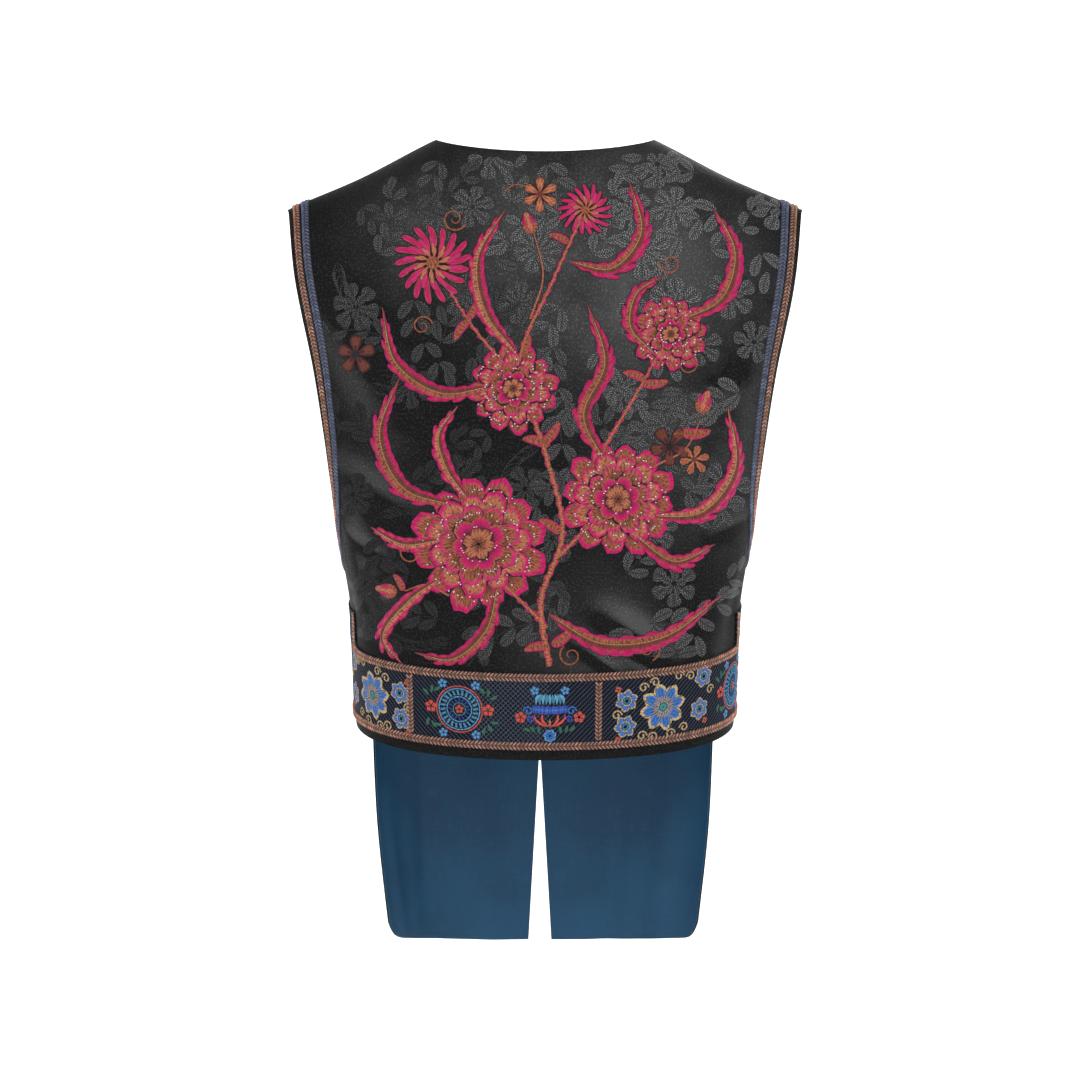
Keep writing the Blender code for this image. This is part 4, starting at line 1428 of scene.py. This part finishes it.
def figure_rows(levels):
    """The place, kind, angle, size and strength of each woven figure; the strength carries painted sheen."""
    draw = np.random.default_rng(FIGURE_SEED)
    rows = []
    for level in range(levels):
        for column in range(FIGURE_COLUMNS):
            across = column - FIGURE_COLUMNS // 2 + 0.5 * (level % 2)
            x = across * FIGURE_SPACING[0] + draw.uniform(-FIGURE_WANDER, FIGURE_WANDER)
            z = FIGURE_TOP - level * FIGURE_SPACING[1] + draw.uniform(-FIGURE_WANDER, FIGURE_WANDER)
            kind = FIGURE_KINDS[draw.integers(len(FIGURE_KINDS))]
            if kind == "fan" and x > FANS_LEFT_OF:
                kind = "leafy"
            size = FIGURE_SIZES[kind] * draw.uniform(0.85, 1.2)
            # Painted sheen: brighter figures towards the upper right, as if lit there, then a random spread
            light = 0.16 + 0.50 * smooth((x + 130) / 220) + 0.42 * smooth((z + 330) / 260)
            tone_and_sheen = float(np.clip(light * draw.uniform(0.75, 1.1), 0.1, 1.0))
            rows.append(dict(kind=kind, place=(x, z), angle=draw.uniform(0, 6.28), size=size, tone_and_sheen=tone_and_sheen))
    return rows


def figured(tone_and_sheen):
    """Marks for a woven figure: how near a point is to the edge, and how strong the figure is with its
    painted sheen.
    """
    return lambda t, v: np.stack([np.abs(v), np.full(v.shape, tone_and_sheen), t], -1)


def woven(work, line, width, fullness, tone_and_sheen, base, lanes=7):
    """One flat float of a woven figure."""
    half = petal_half(width, fullness, len(line))
    work.strip(line, half, 0.02 if lanes > 3 else 0.0, base, figured(tone_and_sheen), lanes=lanes, along=True)


def stalk_of(work, place, angle, length, count, tone_and_sheen, base):
    """A woven figure's curved stalk, and the line that it follows."""
    line = petal_line(place, angle, 0.0, length, STALK_BEND, count)
    work.strip(line, 0.5, 0.0, base, figured(tone_and_sheen * 0.7), lanes=3, along=True)
    return line


def leafy(work, place, angle, size, tone_and_sheen, base):
    """A curved stalk with pairs of round-ended hatched leaves and one at its end."""
    stalk = stalk_of(work, place, angle, size, 24, tone_and_sheen, base)
    for k in range(9):
        at = min(3 + (k // 2) * 5, 23)
        side = (1 if k % 2 else -1) if k < 8 else 0
        aim = angle + STALK_BEND * at / 23 + side * 0.95
        leaf = petal_line(stalk[at], aim, 1.5, size * (0.30 - 0.006 * k), -side * 0.3, 11)
        woven(work, leaf, size * 0.155, 0.15, tone_and_sheen, base)


def round_flower(work, place, angle, size, tone_and_sheen, base):
    """A flower of wide round petals in two rings."""
    for number, near, far, width, offset in ((6, 0.42, 1.0, 0.78, 0.0), (5, 0.10, 0.52, 0.46, 0.3)):
        for k in range(number):
            aim = angle + offset + 2 * math.pi * k / number
            petal = petal_line(place, aim, near * size, far * size, 0.1, 11)
            woven(work, petal, width * size, 0.3, tone_and_sheen, base)


def fan(work, place, angle, size, tone_and_sheen, base):
    """A plume of close thin strokes that curl out from a stalk."""
    stalk = stalk_of(work, place, angle, 1.5 * size, 20, tone_and_sheen, base)
    for k in range(18):
        at = 2 + (k // 2) * 2
        side = 1 if k % 2 else -1
        aim = angle + STALK_BEND * at / 20 + side * 0.8
        wisp = petal_line(stalk[at], aim, 0.8, size * (0.62 - 0.030 * (k // 2)), -side * 0.7, 9)
        woven(work, wisp, 0.075 * size, 0.3, tone_and_sheen * 0.9, base, 3)


def weave_figures():
    """The figures on the back, and the same sprays on the two fronts."""
    kinds = {"leafy": leafy, "round": round_flower, "fan": fan}
    cloth = woven_figure()
    for name, layout, inside, levels in (
        ("woven_figures_back", back_layout, on_back_cloth, 11),
        ("woven_figures_fronts", front_layout, on_front_cloth, 17),
    ):
        work = Needlework(layout)
        for number, row in enumerate(figure_rows(levels)):
            lift = 0.08 + 0.02 * (number % 14)
            kinds[row["kind"]](work, row["place"], row["angle"], row["size"], row["tone_and_sheen"], lift)
        work.keep(inside)
        dress(work.make(name, cloth), "black_silk")


def on_back_cloth(turn, down):
    """True where a place is on the back, clear of its braids, neck edge and ribbon."""
    x, z = np.moveaxis(figure_point(turn, down)[..., [0, 2]], -1, 0)
    side = np.abs(turn) < edge_turn(down, "back_edge") - CLEAR_OF_BRAIDS / section(down, "half_width")
    above_hem = down < back_hem_down(turn) - CLEAR_OF_RIBBON
    return side & above_hem & (z < back_neck_z(x) - CLEAR_OF_NECK) & (down > CLEAR_OF_SEAM)


def on_front_cloth(turn, down):
    """True where a place is on one of the fronts, clear of their edges."""
    from_centre = math.pi - np.abs(turn)
    width = section(down, "half_width")
    inner = opening_turn(down) + CLEAR_OF_SEAM / width
    outer = edge_turn(down, "front_edge") - CLEAR_OF_BRAIDS / width
    above_hem = down < down_of(FRONT_HEM_Z) - CLEAR_OF_HEM
    return (from_centre > inner) & (from_centre < outer) & (down > CLEAR_OF_SEAM) & above_hem


# The ribbon's stitched motifs

# Motif threads' height above the cloth, and the thickness of their strips, in millimetres
MOTIF_LIFT = 1.95
MOTIF_RISE = 0.25


def stroke(work, line, width, colour, lift=MOTIF_LIFT, fullness=0.0, rise=0.2):
    """One flat stitch of a motif, pointed at both ends."""
    half = petal_half(width, fullness, len(line))
    work.strip(line, half, rise, lift, plain(colour), lanes=3, along=True)


def ring(work, centre, radius, width, colour, lift=2.0):
    """A ring of thread."""
    line = polar(centre, radius, np.linspace(0, 2 * math.pi, 41))
    work.strip(line, width / 2, MOTIF_RISE, lift, plain(colour), lanes=3)


def rays(work, centre, near, far, number, width, colour, lift=2.0, bend=0.0, start=0.0):
    """Short strokes out from a centre."""
    for k in range(number):
        line = petal_line(centre, start + 2 * math.pi * k / number, near, far, bend, 5)
        stroke(work, line, width, colour, lift)


def rosette(work, centre, radius, petals, core, edge, start, lift=MOTIF_LIFT):
    """Broad pointed petals with a thin edge of another colour."""
    layers = ((0.20, 1.0, 1.06, 0.10, edge), (0.22, 0.95, 1.00, 0.28, core))
    for k in range(petals):
        aim, base = start + 2 * math.pi * k / petals, lift + 0.05 * (k % 2)
        for near, far, share, rise, colour in layers:
            spread = share * math.pi / petals
            near, far = near * radius, far * radius
            ruffled_petal(work, centre, aim, near, far, spread, rise, base, plain(colour), 6, 9, 1.3)


def scroll(work, centre, radius, side, colour):
    """A small curl on the ribbon."""
    line = curl_line(centre, radius, math.pi / 2 * (1 - side), side * 1.2, 0.75, 22)
    work.strip(line, 0.75, MOTIF_RISE, MOTIF_LIFT, plain(colour), lanes=3)


def wheel(work, centre):
    """A round medallion of dashes in rings, with blossoms and leaves round it."""
    x, y = centre
    for radius, width, colour in (
        (21.5, 1.2, CORAL), (19.2, 1.1, SKY_BLUE), (11.6, 1.0, SKY_BLUE), (5.8, 0.9, TEAL),
    ):
        ring(work, centre, radius, width, colour)
    rays(work, centre, 12.8, 18.4, 24, 1.5, SKY_BLUE, bend=0.12)
    rays(work, centre, 12.8, 18.0, 24, 1.3, TEAL, bend=-0.12, start=0.13)
    rays(work, centre, 6.6, 10.6, 16, 1.2, ROYAL)
    rosette(work, centre, 4.6, 5, CORAL, RUST, 0.4, 2.1)
    for side in (-1, 1):
        rosette(work, (x + side * 27.0, y + 0.5), 6.5, 5, CORAL, BURGUNDY, 0.3)
        for up in (-1, 1):
            rosette(work, (x + side * 15.5, y + up * 23.0), 4.6, 5, SKY_BLUE, STRONG_BLUE, 0.5)
            for k in range(3):
                place = (x + side * (24.0 + 2.6 * k), y + up * (15.5 - 2.5 * k))
                leaf = petal_line(place, up * (1.2 - 0.9 * side * (k - 1)), 0, 7.5, 0.3, 7)
                stroke(work, leaf, 2.8, LEAF_GREEN)


def pot(work, centre):
    """A domed pot in a lotus with coral leaves, small blossoms and blue scrolls."""
    x, y = centre
    for k in range(-4, 5):
        rib = curve([(x + 3.2 * k, y + 6.5), (x + 3.0 * k, y + 13.5), (x + 2.0 * k, y + 17.0)], 8)
        stroke(work, rib, 3.0, TEAL if k % 2 else SKY_BLUE, MOTIF_LIFT, 0.2, MOTIF_RISE)
    for up, colour in ((5.0, ROYAL), (2.6, STRONG_BLUE), (0.4, ROYAL)):
        rim = curve([(x - 16, y + up), (x, y + up - 1.0), (x + 16, y + up)], 16)
        work.strip(rim, 1.2, MOTIF_RISE, MOTIF_LIFT, plain(colour), lanes=3)
    for side in (-1, 1):
        for reach, drop in ((7.0, -7.5), (14.0, -5.0)):
            far = x + side * reach
            leaf = curve([(x, y - 14), (x + side * reach * 0.6, y - 11), (far, y + drop), (far, y - 1)], 12)
            stroke(work, leaf, 2.6, CORAL, 2.0, 0.2, MOTIF_RISE)
        scroll(work, (x + side * 20, y + 1), 4.4, side, STRONG_BLUE)
        scroll(work, (x + side * 18, y - 7), 3.4, -side, ROYAL)
        rosette(work, (x + side * 27, y - 5), 6.0, 5, CORAL, RUST, 0.2)
        rosette(work, (x + side * 14, y + 20), 4.4, 5, SKY_BLUE, STRONG_BLUE, 0.5)
        for k in range(3):
            place = (x + side * (10 + 4 * k), y - 20 + k)
            stroke(work, petal_line(place, 1.5 - side * 0.5 * k, 0, 7, 0.3, 7), 2.8, LEAF_GREEN)
    stamen = curve([(x, y - 15), (x, y - 6)], 6)
    work.strip(stamen, petal_half(2.4, 0.0, 6), MOTIF_RISE, 2.05, plain(PEACH), lanes=3)
    rosette(work, (x, y - 22), 6.4, 7, STRONG_BLUE, SKY_BLUE, 0.3)


# Round a flower panel's middle: rosettes, scrolls with the way that they wind, and coral blossoms
PANEL_ROSETTES = ((-35, 9), (-36, -15), (43, 22), (39, -8))
PANEL_SCROLLS = (
    (-19, 20, 1), (-8, 24, -1), (16, 27, 1), (28, 25, -1), (-20, -25, 1),
    (-9, -27, -1), (8, -26, 1), (22, -22, -1), (-44, -4, 1), (52, 8, 1),
)
PANEL_BLOSSOMS = ((-43, 20), (51, 31), (-43, -27), (46, -20))


def flower_panel(work, centre, side=1):
    """A large blue flower with gold rays among four rosettes and gold scrolls."""
    x, y = centre
    rosette(work, centre, 23.0, 8, STRONG_BLUE, GOLD, 0.2)
    rays(work, centre, 5.5, 10.8, 26, 1.1, GOLD, 2.45)
    ring(work, centre, 5.0, 1.2, GOLD, 2.4)
    rays(work, centre, 0.5, 4.2, 9, 2.2, TEAL, 2.4)
    for dx, dy in PANEL_ROSETTES:
        at = (x + side * dx, y + dy)
        rosette(work, at, 11.0, 6, STRONG_BLUE, GOLD, dx * 0.2)
        ring(work, at, 4.4, 1.0, GOLD, 2.4)
        ring(work, at, 2.2, 1.0, TEAL, 2.4)
    for dx, dy, wind in PANEL_SCROLLS:
        scroll(work, (x + side * dx, y + dy), 4.8, wind * side, GOLD)
    for dx, dy in PANEL_BLOSSOMS:
        rosette(work, (x + side * dx, y + dy), 3.2, 4, CORAL, PEACH, 0.4)


def sew_ribbon():
    """The motifs along the hem ribbon, and a rosette on each vent piece."""
    work = Needlework(hem_layout)
    middle = (HEM_MARGIN + RIBBON_WIDTH / 2) * 1000
    wheel(work, (-80, middle))
    pot(work, (4, middle))
    flower_panel(work, (110, middle - 1))
    flower_panel(work, (-174, middle - 1), -1)
    wheel(work, (205, middle))
    for side in (-1, 1):
        at = (side * (TAPE_HALF - HEM_MARGIN - RIBBON_WIDTH / 2) * 1000, middle + 40)
        rosette(work, at, 13.0, 8, TEAL, SKY_BLUE, 0.2)
        rosette(work, at, 6.0, 6, STRONG_BLUE, GOLD, 0.5, 2.3)
    return dress(work.make("ribbon_embroidery", embroidery_thread()), "embroidery_thread")


# Braids: two ridges of short slanted stitches over a band. The band's rises are its height across;
# a stitch's reach and half width are shares of the pitch, and its lean is a share of its ridge.
BAND_RISES = (-0.0003, 0.0005, 0.0005, 0.0005, -0.0003)
STITCH_PITCH = 0.0036
STITCH_RIDGES = 2
STITCH_REACH = 0.46
STITCH_HALF = 0.19
STITCH_LEAN = 0.44
STITCH_FOOT = 0.0002
STITCH_RISE = 0.0012
STITCH_POINTS = 4
BRAID_BASE = 0.0004


def path_lines(path, distances, side):
    """(turn, down) of lines beside a path, at some distances to its inner side."""
    turn, down = path
    tangent = np.gradient(figure_point(turn, down), axis=0)
    across = unit(np.cross(normal_at(turn, down), tangent)) * side
    lines = [stepped(turn, down, across * reach) for reach in distances]
    return np.stack([line[0] for line in lines], -1), np.stack([line[1] for line in lines], -1)


def slanted_stitches(length, near, far):
    """Each stitch's points: along the braid, across it and up from its band, and their UV."""
    number = round(length / STITCH_PITCH)
    step = length / number
    ridge_wide = (far - near) / STITCH_RIDGES
    ends = np.linspace(-1, 1, STITCH_POINTS)
    s, w = np.meshgrid(ends, ends, indexing="ij")
    full = np.sqrt(np.clip(1 - (s * 0.96) ** 2, 0, 1))
    rise = STITCH_FOOT + STITCH_RISE * full * (np.abs(w) < 0.99)
    wide = STITCH_HALF * step * full * w
    stitches, uv = [], []
    for ridge in range(STITCH_RIDGES):
        lean = STITCH_LEAN * ridge_wide * (1 if ridge % 2 else -1)
        reach = STITCH_REACH * step
        size = math.hypot(reach, lean)
        at = (np.arange(number) + 0.5)[:, None, None] * step + s * reach - wide * lean / size
        beside = near + ridge_wide * (ridge + 0.5) + s * lean + wide * reach / size
        stitches.append(np.stack(np.broadcast_arrays(at, beside, rise), -1))
        uv.append(np.stack(np.broadcast_arrays(w * 0.0008, at), -1))
    return np.concatenate(stitches), np.concatenate(uv)


def read_grid(grid, row, column):
    """A grid's values at places between its rows and columns."""
    low = np.minimum(row.astype(int), grid.shape[0] - 2)
    left = np.clip(column.astype(int), 0, grid.shape[1] - 2)
    part = column - left
    top = grid[low, left] * (1 - part) + grid[low, left + 1] * part
    bottom = grid[low + 1, left] * (1 - part) + grid[low + 1, left + 1] * part
    return top * (1 - row + low) + bottom * (row - low)


def faced(points, faces, sample, out):
    """The faces, all turned over if the sample one doesn't face out."""
    a, b, c = (points[faces[sample, k]] for k in range(3))
    return faces[:, ::-1] if np.dot(np.cross(b - a, c - b), out) < 0 else faces


def chain(name, path, near, far, base, materials, side=1):
    """A braid along a path, between two distances to its inner side, from a height above the cloth."""
    columns = len(BAND_RISES)
    distances = np.linspace(near, far, columns)
    turn, down = path_lines(path, distances, side)
    length = run_length(figure_point(turn[:, 2], down[:, 2]))
    out = normal_at(turn[0, 2], down[0, 2])
    band = cloth_point(turn, down, base + np.array(BAND_RISES)).reshape(-1, 3)
    band_uv = np.stack(np.broadcast_arrays(length[:, None], distances), -1)
    band_faces = faced(band, grid_faces(len(length), columns), 0, out)
    stitches, stitch_uv = slanted_stitches(length[-1], near, far)
    row = np.interp(stitches[..., 0], length, np.arange(len(length)))
    column = (stitches[..., 1] - near) / (far - near) * (columns - 1)
    places = [read_grid(grid, row, column) for grid in (turn, down)]
    points = cloth_point(*places, base + stitches[..., 2]).reshape(-1, 3)
    middle = (STITCH_POINTS - 1) ** 2 // 2
    one = faced(points, grid_faces(STITCH_POINTS, STITCH_POINTS), middle, out)
    starts = len(band) + np.arange(len(stitches)) * STITCH_POINTS**2
    many = (one + starts[:, None, None]).reshape(-1, 4)
    slots = np.repeat([0, 1], [len(band_faces), len(many)])
    uv = np.concatenate([band_uv.reshape(-1, 2), stitch_uv.reshape(-1, 2)])
    faces = np.concatenate([band_faces, many])
    return make_mesh(name, np.concatenate([band, points]), faces, materials, uv, slots=slots)


def framed_path(inset, corner):
    """A path up one vent edge, along the hem and up the other, at an inset from the edges."""
    end = TAPE_HALF - inset
    bend = np.linspace(0, math.pi / 2, 16)
    half_along = np.concatenate([np.full(60, end), end - corner * (1 - np.cos(bend))])
    half_height = np.concatenate([
        np.linspace(LEG_TOP, inset + corner, 60, endpoint=False),
        inset + corner * (1 - np.sin(bend)),
    ])
    along = np.linspace(end - corner, corner - end, 240)[1:-1]
    return on_hem(
        np.concatenate([half_along, along, -half_along[::-1]]),
        np.concatenate([half_height, np.full(len(along), inset), half_height[::-1]]),
    )


def make_braids():
    """The armholes' copper and blue braids, and the ribbon's copper braids."""
    copper = [
        braid_thread("copper_ground", (0.012, 0.005, 0.004), (0.040, 0.014, 0.009)),
        braid_thread("copper_thread", (0.22, 0.085, 0.048), (0.60, 0.275, 0.160), 0.1),
    ]
    blue = [
        braid_thread("navy_ground", (0.005, 0.007, 0.016), (0.010, 0.013, 0.032)),
        braid_thread("blue_thread", (0.030, 0.045, 0.110), (0.130, 0.165, 0.280)),
    ]
    copper_far = EDGE_MARGIN + COPPER_BRAID
    blue_near = copper_far + BRAID_GAP
    armhole = (
        ("copper", EDGE_MARGIN, copper_far, copper),
        ("blue", blue_near, blue_near + BLUE_BRAID, blue),
    )
    for side, word in SIDES:
        path = armhole_path(side)
        for colour, near, far, threads in armhole:
            made = chain(f"armhole_{colour}_chain_{word}", path, near, far, BRAID_BASE, threads, side)
            dress(made, f"{colour}_braid", f"armhole_{colour}_braid_{word}")
    half = RIBBON_BRAID / 2
    low, high = HEM_MARGIN + half, HEM_MARGIN + RIBBON_WIDTH - half
    on_ribbon = TRIM_LIFT + RIBBON_THICK
    for word, inset, corner in (("outer", low, 0.012), ("inner", high, 0.006)):
        made = chain(f"ribbon_{word}_chain", framed_path(inset, corner), -half, half, on_ribbon, copper)
        dress(made, "copper_braid", f"ribbon_{word}_braid")
    height = np.linspace(low + half + DIVIDER_GAP, high - half - DIVIDER_GAP, 40)
    half = DIVIDER_WIDTH / 2
    for number, place in enumerate(DIVIDER_PLACES, 1):
        path = on_hem(np.full(len(height), place), height)
        made = chain(f"divider_chain_{number}", path, -half, half, on_ribbon, copper)
        dress(made, "copper_braid", f"ribbon_divider_{number}")


# Cloth pieces

def make_cloth():
    """The silk panels and their linings, each a thin shell."""
    silk, lining = black_silk(), blue_lining()
    back = shell("back_silk", back_places(), 0.0, -BACK_WALL, [silk, lining])
    dress(back, "black_silk", "back_panel")
    for side, word in SIDES:
        places = front_places(side)
        front = shell(f"front_silk_{word}", places, 0.0, -FRONT_WALL, [silk, silk])
        dress(front, "black_silk", f"front_{word}")
        inside = -FRONT_WALL - LINING_GAP
        inner = shell(f"front_lining_cloth_{word}", places, inside, inside - LINING_WALL, [lining, lining])
        dress(inner, "blue_lining", f"front_lining_{word}")


def ribbon_piece(name, node, along, height, weave):
    """A band of ribbon on the cloth, whose UV runs right along the hem and up from it."""
    height, along = np.meshgrid(height, along, indexing="ij")
    uv = np.stack([-along, height], -1)
    piece = shell(name, on_hem(along, height), TRIM_LIFT + RIBBON_THICK, TRIM_LIFT / 2, [weave, weave], uv)
    dress(piece, "woven_ribbon", node)


def make_ribbon():
    """The wide ribbon along the back hem, and its two shorter pieces up the vents."""
    weave = ribbon_weave()
    low, high = HEM_MARGIN, HEM_MARGIN + RIBBON_WIDTH
    end = TAPE_HALF - HEM_MARGIN
    along, height = np.linspace(-end, end, 300), np.linspace(low, high, 24)
    ribbon_piece("hem_ribbon_weave", "hem_ribbon", along, height, weave)
    height = np.linspace(high + SEAM_GAP, LEG_TOP, 40)
    for side, word in SIDES:
        along = np.linspace(*sorted((side * (TAPE_HALF - high), side * end)), 30)
        name, node = f"vent_ribbon_weave_{word}", f"vent_ribbon_{word}"
        ribbon_piece(name, node, along, height, weave)


def main():
    bpy.context.scene.view_settings.view_transform = "Standard"
    for group in (stripe_group, weave_group, thread_group, painted_sheen_group):
        group()
    make_camera()
    make_studio()
    make_cloth()
    make_ribbon()
    make_braids()
    weave_figures()
    sew_spray()
    sew_sequins()
    sew_ribbon()


main()
